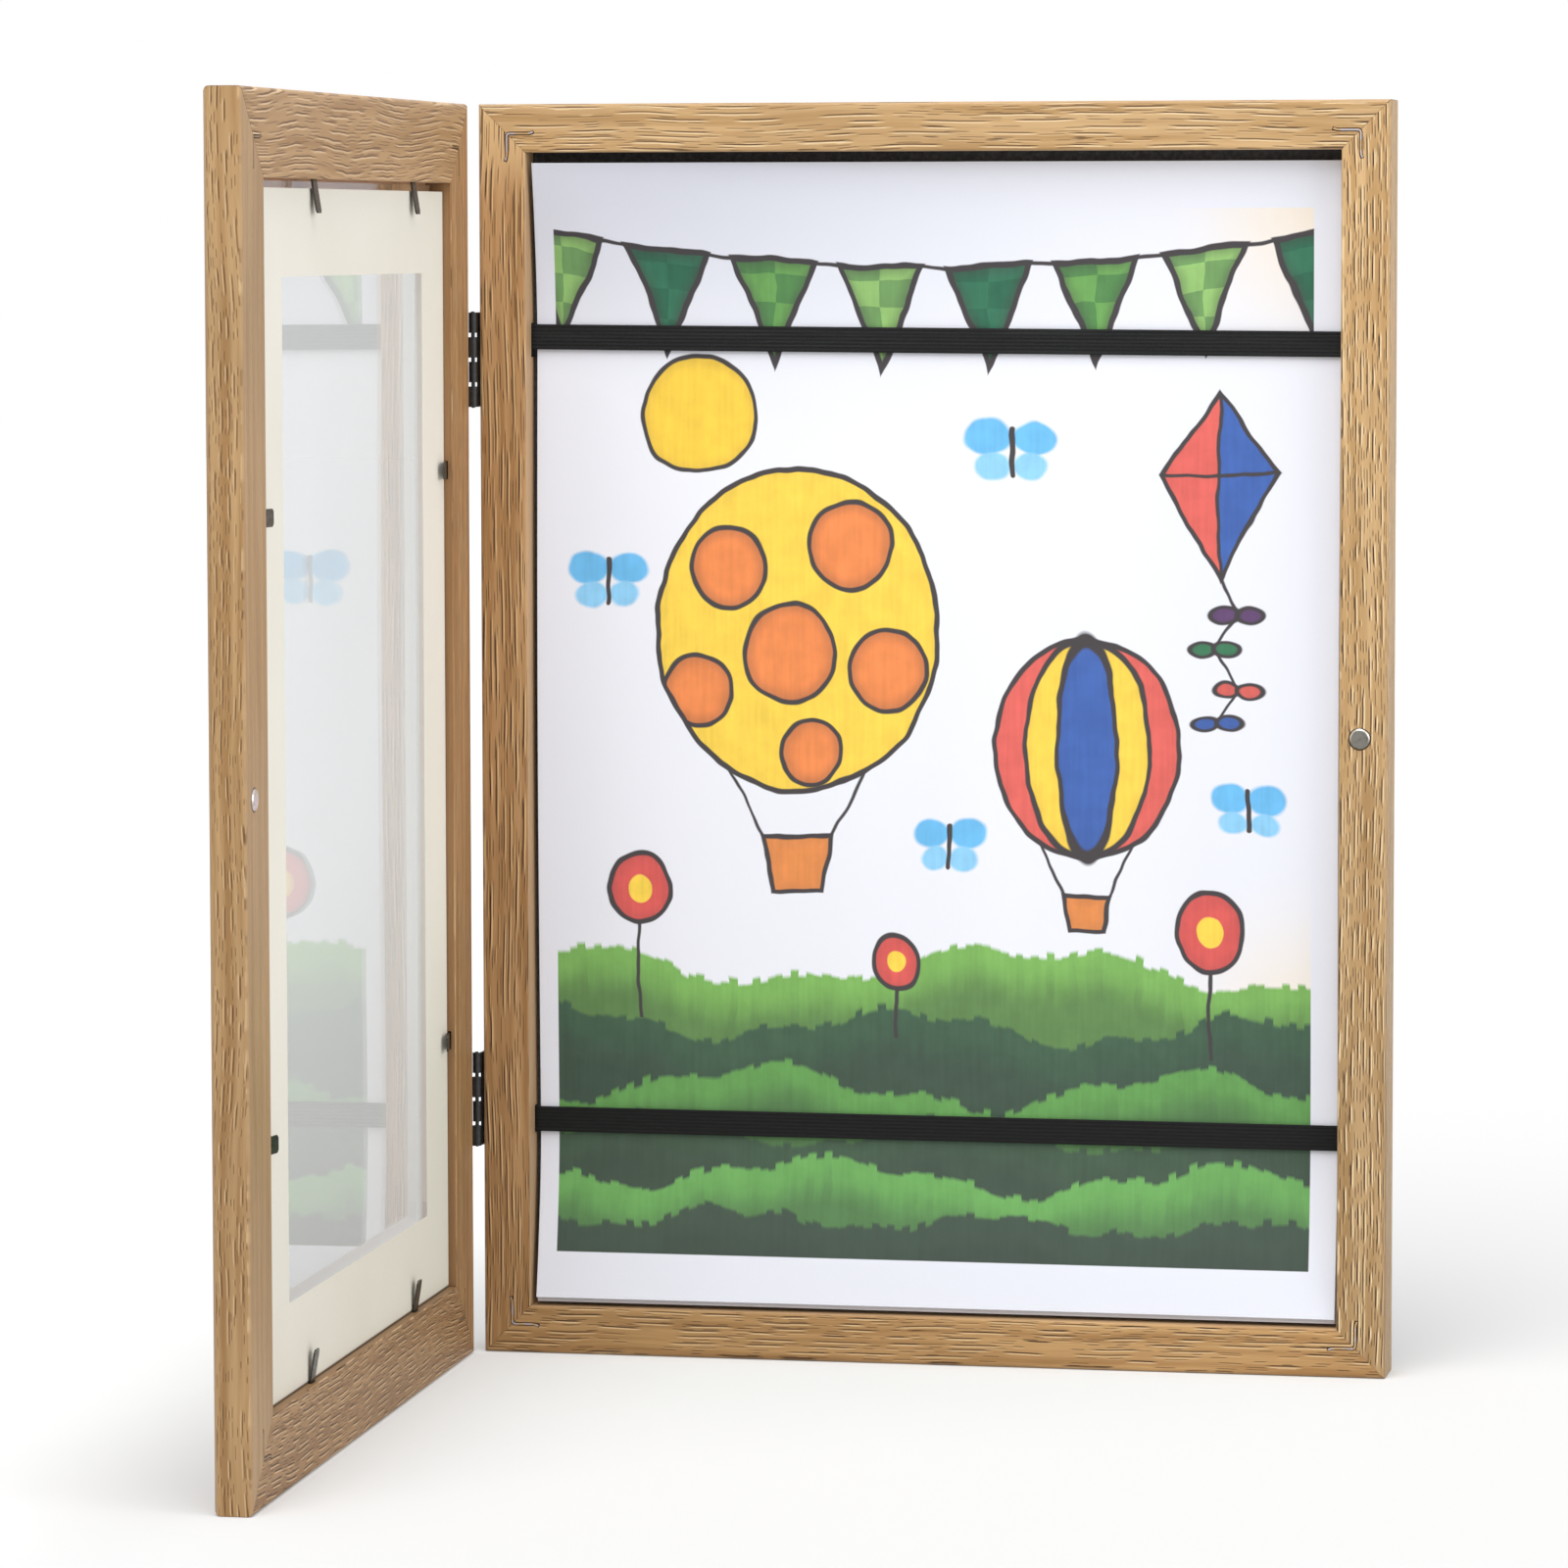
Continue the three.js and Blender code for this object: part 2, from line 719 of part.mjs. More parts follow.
function hangerGeometry() {
  const seat = caseBack + seatGap + hangerThickness / 2;
  const half = hangerLength / 2;
  const end = (sign) => [
    [sign * half, caseBack - hangerProng],
    [sign * half, seat],
    [sign * (half - hangerFoot), seat],
    [sign * (half - hangerFoot - hangerSlope), seat + hangerRise],
  ];
  const corners = [...end(-1), ...end(1).reverse()];
  const path = roundedPath(corners, hangerThickness, bendSteps);
  const bar = uprightBar(stripShape(path, hangerThickness), hangerWidth);
  const edge = hangerWidth / 2;
  const start = (-hangerTeeth * toothPitch) / 2;
  const points = [new THREE.Vector2(start, edge + overrun)];
  for (let tooth = 0; tooth < hangerTeeth; tooth++) {
    const x = start + tooth * toothPitch;
    points.push(new THREE.Vector2(x, edge));
    points.push(new THREE.Vector2(x + toothPitch / 2, edge - toothDepth));
  }
  points.push(new THREE.Vector2(-start, edge));
  points.push(new THREE.Vector2(-start, edge + overrun));
  const depth = hangerRise + 2 * hangerThickness + seatGap;
  const teeth = standingPlate(new THREE.Shape(points), depth).translate(0, caseBack, 0);
  return cutFrom(bar, [teeth]);
}

function makeHanger(name) {
  const room = [-1, 1].map((sign) => {
    const x = (sign * hangerLength) / 2;
    const wide = hangerThickness / 2 + slotGap;
    const tall = hangerWidth / 2 + slotGap;
    const tip = caseBack - hangerProng - slotGap;
    return block([x - wide, tip, -tall], [x + wide, caseBack + overrun, tall]);
  });
  return piece(name, hangerGeometry(), materials.zinc, room);
}

// Door panels

function makeGlazing() {
  const halfWidth = rebateWidth / 2 - glazingSideRoom;
  const low = [-halfWidth, glazingBack - glazingThickness, doorRailWidth + glazingSideRoom];
  const high = [halfWidth, glazingBack, frameHeight - doorRailWidth - glazingSideRoom];
  return piece("glazing", block(low, high), materials.glass);
}

// The mat's window is cut at 45 degrees, wider on the side of the glazing.
function makeMat() {
  const bottom = doorRailWidth + seatGap;
  const top = frameHeight - doorRailWidth - matHeadRoom;
  const halfWidth = rebateWidth / 2 - matSideRoom;
  const front = matBack - matThickness;
  const ring = (halfX, low, high, y) => [
    [-halfX, y, low],
    [halfX, y, low],
    [halfX, y, high],
    [-halfX, y, high],
  ];
  const bevel = matThickness;
  const rings = [
    ring(halfWidth, bottom, top, front),
    ring(halfWidth, bottom, top, matBack),
    ring(windowWidth / 2, windowBottom, windowTop, matBack),
    ring(windowWidth / 2 + bevel, windowBottom - bevel, windowTop + bevel, front),
  ];
  const corners = rings[0].length;
  const index = [];
  for (let level = 0; level < rings.length; level++) {
    const above = (level + 1) % rings.length;
    for (let i = 0; i < corners; i++) {
      const next = (i + 1) % corners;
      const a = level * corners + i;
      const b = level * corners + next;
      const c = above * corners + next;
      const d = above * corners + i;
      index.push(a, c, b, a, d, c);
    }
  }
  return piece("mat_board", meshOf(rings.flat(2), index), materials.mat);
}

// Hinges. In a leaf's frame the pin runs along Z through the origin and the wood is at +X.

// The section of a knuckle: a flat that runs tangent into a curl round the pin.
function knuckleShape() {
  const middle = pinRadius + pinGap + leafThickness / 2;
  const curl = THREE.MathUtils.degToRad(curlDegrees);
  const path = [new THREE.Vector2(middle, knuckleRadius + 2 * leafNotchGap)];
  for (let step = 0; step <= curlSteps; step++) {
    const angle = (-curl * step) / curlSteps;
    path.push(new THREE.Vector2(middle * Math.cos(angle), middle * Math.sin(angle)));
  }
  return stripShape(path, leafThickness);
}

function leafPlate() {
  const near = knuckleRadius + leafNotchGap;
  const half = hingeLength / 2;
  const outline = new THREE.Shape([
    new THREE.Vector2(near, -half),
    new THREE.Vector2(leafReach - leafCorner, -half),
    new THREE.Vector2(leafReach, leafCorner - half),
    new THREE.Vector2(leafReach, half - leafCorner),
    new THREE.Vector2(leafReach - leafCorner, half),
    new THREE.Vector2(near, half),
  ]);
  const plate = new THREE.ExtrudeGeometry(outline, { depth: leafThickness, bevelEnabled: false });
  const yAxis = new THREE.Vector3(0, 1, 0);
  const zAxis = new THREE.Vector3(0, 0, 1);
  const xAxis = new THREE.Vector3(1, 0, 0);
  plate.applyMatrix4(new THREE.Matrix4().makeBasis(yAxis, zAxis, xAxis));
  return plate.translate(pinRadius + pinGap, 0, 0);
}

// Screws go in halfway across the flat of the leaf.
const screwY = (knuckleRadius + leafNotchGap + leafReach) / 2;
const screwZ = hingeLength / 2 - screwEdgeInset;

function leafGeometry() {
  const knuckles = [];
  for (let i = 0; i < knuckleCount; i += 2) {
    const z = hingeLength / 2 - knuckleLength / 2 - i * (knuckleLength + knuckleGap);
    knuckles.push(uprightBar(knuckleShape(), knuckleLength).translate(0, 0, z));
  }
  const leaf = joined([leafPlate(), ...knuckles]);
  const holes = [-1, 1].map((sign) =>
    screwRoom().translate(pinRadius + pinGap, screwY, sign * screwZ),
  );
  return cutFrom(leaf, holes);
}

// A screw's head faces -X at x = 0, and its shank runs to +X.
function screwGeometry() {
  const profile = [
    [0, -screwLength],
    [screwShankRadius, screwTip - screwLength],
    [screwShankRadius, -screwHeadDepth],
    [screwHeadRadius, -screwRim],
    [screwHeadRadius, 0],
    [0, 0],
  ];
  const body = turned(profile, screwSides).rotateZ(quarterTurn);
  const slots = [0, quarterTurn].map((turn) =>
    block(
      [-overrun, -crossWidth / 2, -crossLength / 2],
      [crossDepth, crossWidth / 2, crossLength / 2],
    ).rotateX(turn),
  );
  return cutFrom(body, slots);
}

function screwRoom() {
  const profile = [
    [0, -screwLength - slotGap],
    [screwShankRadius + slotGap, -screwLength - slotGap],
    [screwShankRadius + slotGap, -screwHeadDepth - slotGap],
    [screwHeadRadius + slotGap, -screwRim],
    [screwHeadRadius + slotGap, overrun],
    [0, overrun],
  ];
  return turned(profile, screwSides).rotateZ(quarterTurn);
}

function pinGeometry() {
  const half = hingeLength / 2 + pinOverhang;
  const profile = [
    [0, -half],
    [pinRadius - pinRim, -half],
    [pinRadius, pinRim - half],
    [pinRadius, half - pinRim],
    [pinRadius - pinRim, half],
    [0, half],
  ];
  return turned(profile, pinSides).rotateX(quarterTurn);
}

// One leaf with its screws. The door's is the same leaf turned over, so that it points the other
// way from the pin and its knuckles fill the gaps.
function makeLeaf(label, height, turnedOver) {
  const leaf = piece(`${label}_leaf`, leafGeometry(), materials.blackSteel);
  const place = new THREE.Group();
  place.position.set(axisX, axisY, height);
  place.rotation.x = turnedOver ? Math.PI : 0;
  place.add(leaf);
  const screws = [1, -1].map((sign, i) => {
    const name = `${label}_screw_${i + 1}`;
    const screw = piece(name, screwGeometry(), materials.blackSteel, [screwRoom()]);
    screw.position.set(pinRadius + pinGap, screwY, sign * screwZ);
    place.add(screw);
    return screw;
  });
  return { place, screws };
}

function makePin(name, height) {
  const pin = piece(name, pinGeometry(), materials.blackSteel);
  pin.position.set(axisX, axisY, height);
  return pin;
}

// Assembly

function cornersOf(i, rails) {
  return [rails[i], rails[(i + rails.length - 1) % rails.length]];
}

const art_frame = new THREE.Group();
const caseBody = new THREE.Group();
const doorBody = new THREE.Group();
const doorPivot = new THREE.Group();
doorPivot.position.set(axisX, axisY, 0);
doorPivot.rotation.z = THREE.MathUtils.degToRad(-doorAngleDegrees);
doorBody.position.set(-axisX, -axisY, 0);
doorPivot.add(doorBody);
art_frame.add(caseBody, doorPivot);

const caseSides = frameSides();
const doorSides = frameSides();
caseBody.add(...Object.values(caseSides));
doorBody.add(...Object.values(doorSides));
const caseRails = makeCaseRails(caseSides);
const doorRails = makeDoorRails(doorSides);

const caseNails = makeCornerNails(caseSides, "case_corner_nail", caseNailInset, caseFront, 1);
const doorNails = makeCornerNails(doorSides, "door_corner_nail", doorNailInset, doorInside, -1);

const caseMagnet = makeMagnet("case_magnet", caseFront, -1);
const doorMagnet = makeMagnet("door_magnet", doorInside, 1);
putOnSide(caseSides.right, caseMagnet, magnetRaise, caseMagnet.userData.centreY, magnetInset);
putOnSide(doorSides.right, doorMagnet, magnetRaise, doorMagnet.userData.centreY, magnetInset);

const matPointY = matBack + seatGap + pointThickness / 2;
const backPointY = boardBack + seatGap + pointThickness / 2;
const ledgeInward = caseRailWidth - caseLedge;
const matPoint = (side, label, shares) =>
  makePoints(doorSides[side], `mat_point_${label}`, shares, matPointY, doorRailWidth);
const backPoint = (side, shares) =>
  makePoints(caseSides[side], `back_point_${side}`, shares, backPointY, ledgeInward);
const doorPoints = {
  bottom: matPoint("bottom", "bottom", bottomPointShares),
  right: matPoint("right", "free", freePointShares),
  top: matPoint("top", "top", topPointShares),
  left: matPoint("left", "hinge", hingePointShares),
};
const backPoints = {
  bottom: backPoint("bottom", shortBackPointShares),
  right: backPoint("right", longBackPointShares),
  top: backPoint("top", shortBackPointShares),
  left: backPoint("left", longBackPointShares),
};

const board = makeBackBoard();
const upperStrap = makeStrap("strap_upper", frameHeight - strapInset, upperStrapTiltDegrees);
const lowerStrap = makeStrap("strap_lower", strapInset, lowerStrapTiltDegrees);
caseBody.add(board, upperStrap, lowerStrap, ...makeSheets());
const staples = [
  ...makeStaples(upperStrap.userData.strap, 1),
  ...makeStaples(lowerStrap.userData.strap, 3),
];

const topHanger = makeHanger("sawtooth_hanger_top");
const sideHanger = makeHanger("sawtooth_hanger_side");
putOnSide(caseSides.top, topHanger, 0, 0, ledgeInward / 2);
putOnSide(caseSides.left, sideHanger, 0, 0, ledgeInward / 2);

doorBody.add(makeGlazing(), makeMat());

const upperHeight = frameHeight - upperHingeInset;
const upperCaseLeaf = makeLeaf("hinge_upper_case", upperHeight, false);
const lowerCaseLeaf = makeLeaf("hinge_lower_case", lowerHingeInset, false);
const upperDoorLeaf = makeLeaf("hinge_upper_door", upperHeight, true);
const lowerDoorLeaf = makeLeaf("hinge_lower_door", lowerHingeInset, true);
caseBody.add(upperCaseLeaf.place, lowerCaseLeaf.place);
caseBody.add(makePin("hinge_upper_pin", upperHeight));
caseBody.add(makePin("hinge_lower_pin", lowerHingeInset));
doorBody.add(upperDoorLeaf.place, lowerDoorLeaf.place);

art_frame.updateMatrixWorld(true);

// Everything that is let into something else gets its room there.
caseRails.forEach((rail, i) => {
  const side = Object.keys(caseSides)[i];
  const fitted = caseNails.filter((_, k) => cornersOf(k, caseRails).includes(rail));
  fitted.push(...backPoints[side]);
  if (side === "right") fitted.push(caseMagnet);
  if (side === "top") fitted.push(topHanger);
  if (side === "left") fitted.push(sideHanger, ...upperCaseLeaf.screws, ...lowerCaseLeaf.screws);
  letInto(rail, fitted);
});
doorRails.forEach((rail, i) => {
  const side = Object.keys(doorSides)[i];
  const fitted = doorNails.filter((_, k) => cornersOf(k, doorRails).includes(rail));
  fitted.push(...doorPoints[side]);
  if (side === "right") fitted.push(doorMagnet);
  if (side === "left") fitted.push(...upperDoorLeaf.screws, ...lowerDoorLeaf.screws);
  letInto(rail, fitted);
});
for (const place of [upperStrap, lowerStrap]) {
  const asPiece = (room) => ({ matrixWorld: place.matrixWorld, userData: { room } });
  letInto(caseRails[1], [asPiece(place.userData.notches)]);
  letInto(caseRails[3], [asPiece(place.userData.notches)]);
  letInto(board, [asPiece(place.userData.boardNotches)]);
}
letInto(board, staples);

export default art_frame;
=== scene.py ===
import math

import bpy
from mathutils import Matrix, Vector


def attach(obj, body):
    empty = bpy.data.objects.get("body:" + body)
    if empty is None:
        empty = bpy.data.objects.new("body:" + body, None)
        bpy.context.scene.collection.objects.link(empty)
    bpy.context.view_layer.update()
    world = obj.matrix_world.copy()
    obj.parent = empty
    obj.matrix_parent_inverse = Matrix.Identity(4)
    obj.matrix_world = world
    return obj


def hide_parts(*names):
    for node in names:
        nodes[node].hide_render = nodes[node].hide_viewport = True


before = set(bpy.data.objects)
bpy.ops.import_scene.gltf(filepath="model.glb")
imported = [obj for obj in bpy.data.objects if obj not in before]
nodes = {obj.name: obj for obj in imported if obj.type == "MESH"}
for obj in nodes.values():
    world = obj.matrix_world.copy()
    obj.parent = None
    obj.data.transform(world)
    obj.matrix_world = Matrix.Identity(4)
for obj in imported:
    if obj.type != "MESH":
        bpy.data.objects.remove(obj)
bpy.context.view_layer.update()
print("frame loaded:", len(nodes), "pieces")


# camera and room

cameraFit = {
    "place": (0.3151, -1.7538, 0.2926),
    "yaw": 11.433,
    "pitch": -4.558,
    "roll": -0.105,
    "lens": 158.65,
    "sensor": 36,
}


def turned(axis, degrees):
    return Matrix.Rotation(math.radians(degrees), 4, axis)


def placed(name, data):
    obj = bpy.data.objects.new(name, data)
    bpy.context.collection.objects.link(obj)
    return obj


def makeCamera(fit):
    data = bpy.data.cameras.new("camera")
    data.sensor_fit = "HORIZONTAL"
    data.sensor_width = fit["sensor"]
    data.lens = fit["lens"]
    data.clip_start = 0.01
    data.clip_end = 100
    camera = placed("camera", data)
    turn = turned("Z", fit["yaw"]) @ turned("X", 90 + fit["pitch"]) @ turned("Z", fit["roll"])
    camera.matrix_world = Matrix.Translation(fit["place"]) @ turn
    bpy.context.scene.camera = camera


makeCamera(cameraFit)
bpy.context.scene.view_settings.view_transform = "Standard"
print("camera set")


# node helpers

def feed(tree, socket, value):
    if isinstance(value, bpy.types.NodeSocket):
        tree.links.new(value, socket)
    else:
        socket.default_value = value


def addNode(tree, kind, inputs=None, **settings):
    node = tree.nodes.new(kind)
    for key, value in settings.items():
        setattr(node, key, value)
    for key, value in (inputs or {}).items():
        feed(tree, node.inputs[key], value)
    return node


def output(tree, kind, inputs=None, **settings):
    return addNode(tree, kind, inputs, **settings).outputs[0]


def calc(tree, operation, *values, clamp=False):
    inputs = dict(enumerate(values))
    return output(tree, "ShaderNodeMath", inputs, operation=operation, use_clamp=clamp)


def times(tree, *values, clamp=False):
    return calc(tree, "MULTIPLY", *values, clamp=clamp)


def minus(tree, *values):
    return calc(tree, "SUBTRACT", *values)


def affine(tree, value, factor, term, clamp=False):
    return calc(tree, "MULTIPLY_ADD", value, factor, term, clamp=clamp)


def apart(tree, first, second):
    return calc(tree, "ABSOLUTE", minus(tree, first, second))


def vectorCalc(tree, operation, *values):
    node = addNode(tree, "ShaderNodeVectorMath", dict(enumerate(values)), operation=operation)
    return node.outputs["Value" if operation in ("LENGTH", "DOT_PRODUCT") else "Vector"]


# a colour is a socket, three levels up to 255, or four linear parts
def mixColour(tree, share, first, second, blend="MIX"):
    node = tree.nodes.new("ShaderNodeMix")
    node.data_type = "RGBA"
    node.blend_type = blend
    for socket, value in zip((node.inputs[0], node.inputs[6], node.inputs[7]), (share, first, second)):
        if isinstance(value, tuple) and len(value) == 3:
            value = colour(*value)
        feed(tree, socket, value)
    return node.outputs[2]


def axes(tree, vector):
    return addNode(tree, "ShaderNodeSeparateXYZ", {0: vector}).outputs[:]


def combined(tree, x=0, y=0, z=0):
    return output(tree, "ShaderNodeCombineXYZ", {0: x, 1: y, 2: z})


def scaled(tree, vector, share):
    return output(tree, "ShaderNodeVectorMath", {0: vector, "Scale": share}, operation="SCALE")


def lotOf(tree, number):
    return addNode(tree, "ShaderNodeTexWhiteNoise", {"W": number}, noise_dimensions="1D").outputs["Value"]


def darker(base, share):
    return tuple(share * part for part in base[:3]) + (1,)


def noise(tree, vector, scale=1, detail=2, roughness=0.5):
    inputs = {"Vector": vector, "Scale": scale, "Detail": detail, "Roughness": roughness}
    return output(tree, "ShaderNodeTexNoise", inputs)


def ramp(tree, value, low, high, toLow=0, toHigh=1):
    inputs = {"Value": value, "From Min": low, "From Max": high, "To Min": toLow, "To Max": toHigh}
    return output(tree, "ShaderNodeMapRange", inputs, interpolation_type="SMOOTHSTEP")


def colour(red, green, blue):
    def linear(value):
        value /= 255
        return value / 12.92 if value <= 0.04045 else ((value + 0.055) / 1.055) ** 2.4
    return (linear(red), linear(green), linear(blue), 1)


def newMaterial(name, **settings):
    material = bpy.data.materials.new(name)
    material.use_nodes = True
    tree = material.node_tree
    shader = tree.nodes["Principled BSDF"]
    for key, value in settings.items():
        shader.inputs[key.replace("_", " ")].default_value = value
    return material, tree, shader


def objectPoint(tree):
    return tree.nodes.new("ShaderNodeTexCoord").outputs["Object"]


def setBase(tree, shader, base):
    tree.links.new(base, shader.inputs["Base Color"])


def bump(tree, shader, height, distance, strength=1):
    inputs = {"Height": height, "Distance": distance, "Strength": strength}
    node = addNode(tree, "ShaderNodeBump", inputs)
    tree.links.new(node.outputs[0], shader.inputs["Normal"])


def dress(material, *starts):
    for name, node in nodes.items():
        if name.startswith(starts):
            for slot in node.material_slots:
                slot.material = material


# room: a pale floor, soft light

room = {
    "floorSize": 14,
    "floorDrop": 0.00005,
    "floorTone": 0.62,
    "leftLift": 0.16,
    "lift": 0.025,
    "liftSpan": (-0.2, -0.13),
    "fill": 0.6,
    "aim": (0, 0, 0.16),
    "lamps": {
        "highLeft": {"place": (-0.45, -1.35, 1.35), "size": 1.3, "power": 8},
        "high": {"place": (0.1, -1.0, 1.5), "size": 1.0, "power": 6},
        "over": {"place": (0.0, -0.45, 1.7), "size": 0.8, "power": 9.5},
        "right": {"place": (1.7, -0.8, 0.7), "size": 1.3, "power": 11},
    },
}


def seenDirectly(tree):
    path = tree.nodes.new("ShaderNodeLightPath")
    byCamera = path.outputs["Is Camera Ray"]
    seen = calc(tree, "MAXIMUM", byCamera, path.outputs["Is Glossy Ray"])
    return calc(tree, "MAXIMUM", seen, path.outputs["Is Transmission Ray"]), byCamera


def lampLevel(tree, point, place, aim, power):
    away = vectorCalc(tree, "SUBTRACT", place, point)
    square = vectorCalc(tree, "DOT_PRODUCT", away, away)
    facing = (Vector(place) - Vector(aim)).normalized()
    across = vectorCalc(tree, "DOT_PRODUCT", away, tuple(facing))
    level = calc(tree, "DIVIDE", across, times(tree, square, square))
    return times(tree, level, power * place[2] / math.pi ** 2)


# the floor adds, for the eye alone, what its light leaves short of white, so only shadows show on it
def makeFloor(values):
    half = values["floorSize"] / 2
    mesh = bpy.data.meshes.new("floor")
    corners = ((-half, -half), (half, -half), (half, half), (-half, half))
    mesh.from_pydata([(*corner, -values["floorDrop"]) for corner in corners], [], [(0, 1, 2, 3)])
    floor = placed("floor", mesh)
    material, tree, shader = newMaterial("paleFloor", Roughness=0.9, Specular_IOR_Level=0.0)
    tone = values["floorTone"]
    shader.inputs["Base Color"].default_value = (tone, tone, tone, 1)
    shader.inputs["Emission Color"].default_value = (1, 1, 1, 1)
    point = objectPoint(tree)
    level = values["fill"]
    for lamp in values["lamps"].values():
        reached = lampLevel(tree, point, lamp["place"], values["aim"], lamp["power"])
        level = calc(tree, "ADD", reached, level)
    short = affine(tree, level, -tone, 1, clamp=True)
    x = axes(tree, point)[0]
    lift = ramp(tree, x, *values["liftSpan"], values["leftLift"], values["lift"])
    seen, byCamera = seenDirectly(tree)
    short = times(tree, seen, affine(tree, byCamera, lift, short))
    tree.links.new(short, shader.inputs["Emission Strength"])
    mesh.materials.append(material)


def makeWorld(values):
    world = bpy.data.worlds.new("room")
    bpy.context.scene.world = world
    world.use_nodes = True
    tree = world.node_tree
    background = tree.nodes["Background"]
    background.inputs["Color"].default_value = (1, 1, 1, 1)
    strength = affine(tree, seenDirectly(tree)[0], 1 - values["fill"], values["fill"])
    tree.links.new(strength, background.inputs["Strength"])


def makeLamps(values):
    target = Vector(values["aim"])
    for name, lamp in values["lamps"].items():
        data = bpy.data.lights.new(name, "AREA")
        data.shape = "DISK"
        data.size = lamp["size"]
        data.energy = lamp["power"]
        obj = placed(name, data)
        obj.location = lamp["place"]
        obj.visible_camera = False
        obj.rotation_euler = (target - obj.location).to_track_quat("-Z", "Y").to_euler()


makeFloor(room)
makeWorld(room)
makeLamps(room)
print("floor and light made")


# wood: embossed oak foil with a painted highlight beside each pore line, its grain along each rail; the
# door's is laid out as if it were closed

oak = {
    "roughness": (0.42, 0.52),
    "gloss": 0.25,
    "fineLines": {"pitch": 0.00072, "length": 0.0055, "share": 0.75, "half": 0.00011, "strength": 0.8},
    "longLines": {"pitch": 0.0016, "length": 0.013, "share": 0.88, "half": 0.00018, "strength": 1},
    "columnSlip": 23,
    "endSlack": 0.4,
    "endTaper": 8,
    "faintest": 0.7,
    "stray": 0.3,
    "soft": 0.00008,
    # the next two set the painted highlight beside each pore line: its offset and its strength
    "paintedHighlightStep": 0.0004,
    "paintedHighlightStrength": 0.88,
    "poreStrength": 1,
    "streaks": (12, 380),
    "patches": (20, 90),
    "fibres": (110, 4600),
    "patchTones": (0.96, 1.05),
    "fibreTones": (0.94, 1.05),
    "edgeShare": 0.6,
    "bands": (9, 190),
    "faces": {"case": -0.008, "doorInside": -0.0094, "doorOutside": -0.0185, "side": 0.1185, "top": 0.326},
    "bumpDepth": 0.0001,
    "hinge": (-0.11995, -0.0087),
    "doorTurn": 88.4,
    "lipFrom": -0.0128,
}
oakTones = {
    # edge is the smooth foil on rounded edges and inner walls; the clay and bark edges are darkened as
    # painted shade where the mat meets the rebate walls, and the warm edge is lightened as painted light on
    # the left pocket wall
    "gold": {"base": (203, 168, 122), "deep": (178, 141, 94), "pore": (58, 34, 16),
             "ridgeAndPaintedHighlight": (246, 220, 176), "edge": (196, 168, 134)},
    "warm": {"base": (188, 148, 103), "deep": (158, 117, 73), "pore": (60, 34, 18),
             "ridgeAndPaintedHighlight": (226, 190, 142), "edge": (194, 164, 130)},
    "tan": {"base": (190, 151, 102), "deep": (160, 121, 76), "pore": (52, 30, 14),
            "ridgeAndPaintedHighlight": (230, 197, 150), "edge": (182, 150, 114)},
    "clay": {"base": (186, 145, 100), "deep": (157, 115, 72), "pore": (78, 48, 26),
             "ridgeAndPaintedHighlight": (214, 180, 136), "edge": (132, 100, 70)},
    "sand": {"base": (190, 154, 113), "deep": (168, 132, 92), "pore": (104, 72, 44),
             "ridgeAndPaintedHighlight": (232, 200, 160), "edge": (184, 152, 118)},
    "bark": {"base": (168, 132, 93), "deep": (142, 106, 69), "pore": (66, 42, 22),
             "ridgeAndPaintedHighlight": (216, 182, 140), "edge": (122, 95, 68)},
    "bronze": {"base": (184, 150, 107), "deep": (156, 119, 76), "pore": (92, 60, 32),
               "ridgeAndPaintedHighlight": (208, 176, 134), "edge": (182, 153, 121)},
}


# each pore line comes with a second line beside it, a painted highlight on the side the light comes from
def poreLines(tree, along, across, lines, seed, stretch, paintedHighlightStep, band):
    column = calc(tree, "FLOOR", calc(tree, "DIVIDE", across, lines["pitch"]))
    place = calc(tree, "DIVIDE", along, lines["length"] * stretch)
    lot = lotOf(tree, calc(tree, "ADD", column, seed))
    place = affine(tree, lot, oak["columnSlip"], place)
    cell = combined(tree, column, calc(tree, "FLOOR", place), seed)
    lot = addNode(tree, "ShaderNodeTexWhiteNoise", {"Vector": cell}, noise_dimensions="3D")
    shown = calc(tree, "LESS_THAN", lot.outputs["Value"], times(tree, band, lines["share"]))
    first, second, third = axes(tree, lot.outputs["Color"])
    run = calc(tree, "FRACT", place)
    slack, taper = oak["endSlack"], oak["endTaper"]
    starts = times(tree, affine(tree, first, -slack, run), taper, clamp=True)
    left = minus(tree, 1, run)
    ends = times(tree, affine(tree, second, -slack, left), taper, clamp=True)
    shown = times(tree, shown, times(tree, starts, ends))
    faintest = oak["faintest"]
    shown = times(tree, shown, affine(tree, second, 1 - faintest, faintest))
    shown = times(tree, shown, lines["strength"])
    middle = affine(tree, third, oak["stray"], 0.5 - oak["stray"] / 2)
    away = minus(tree, calc(tree, "FRACT", calc(tree, "DIVIDE", across, lines["pitch"])), middle)
    away = times(tree, away, lines["pitch"])
    soft, found = oak["soft"], []
    for step in (0, paintedHighlightStep):
        beside = apart(tree, away, step)
        line = affine(tree, beside, -1 / soft, lines["half"] / soft + 0.5, clamp=True)
        found.append(times(tree, line, shown))
    return found


def closedPoint(tree, point):
    hinge = Vector((*oak["hinge"], 0))
    shift = hinge - turned("Z", oak["doorTurn"]) @ hinge
    inputs = {"Vector": point, "Rotation": (0, 0, math.radians(oak["doorTurn"])), "Location": shift}
    return output(tree, "ShaderNodeMapping", inputs)


def onFace(tree, value, *planes):
    nearest = None
    for plane in planes:
        away = apart(tree, value, plane)
        nearest = away if nearest is None else calc(tree, "MINIMUM", nearest, away)
    return ramp(tree, nearest, 0.0001, 0.0004, 1, 0)


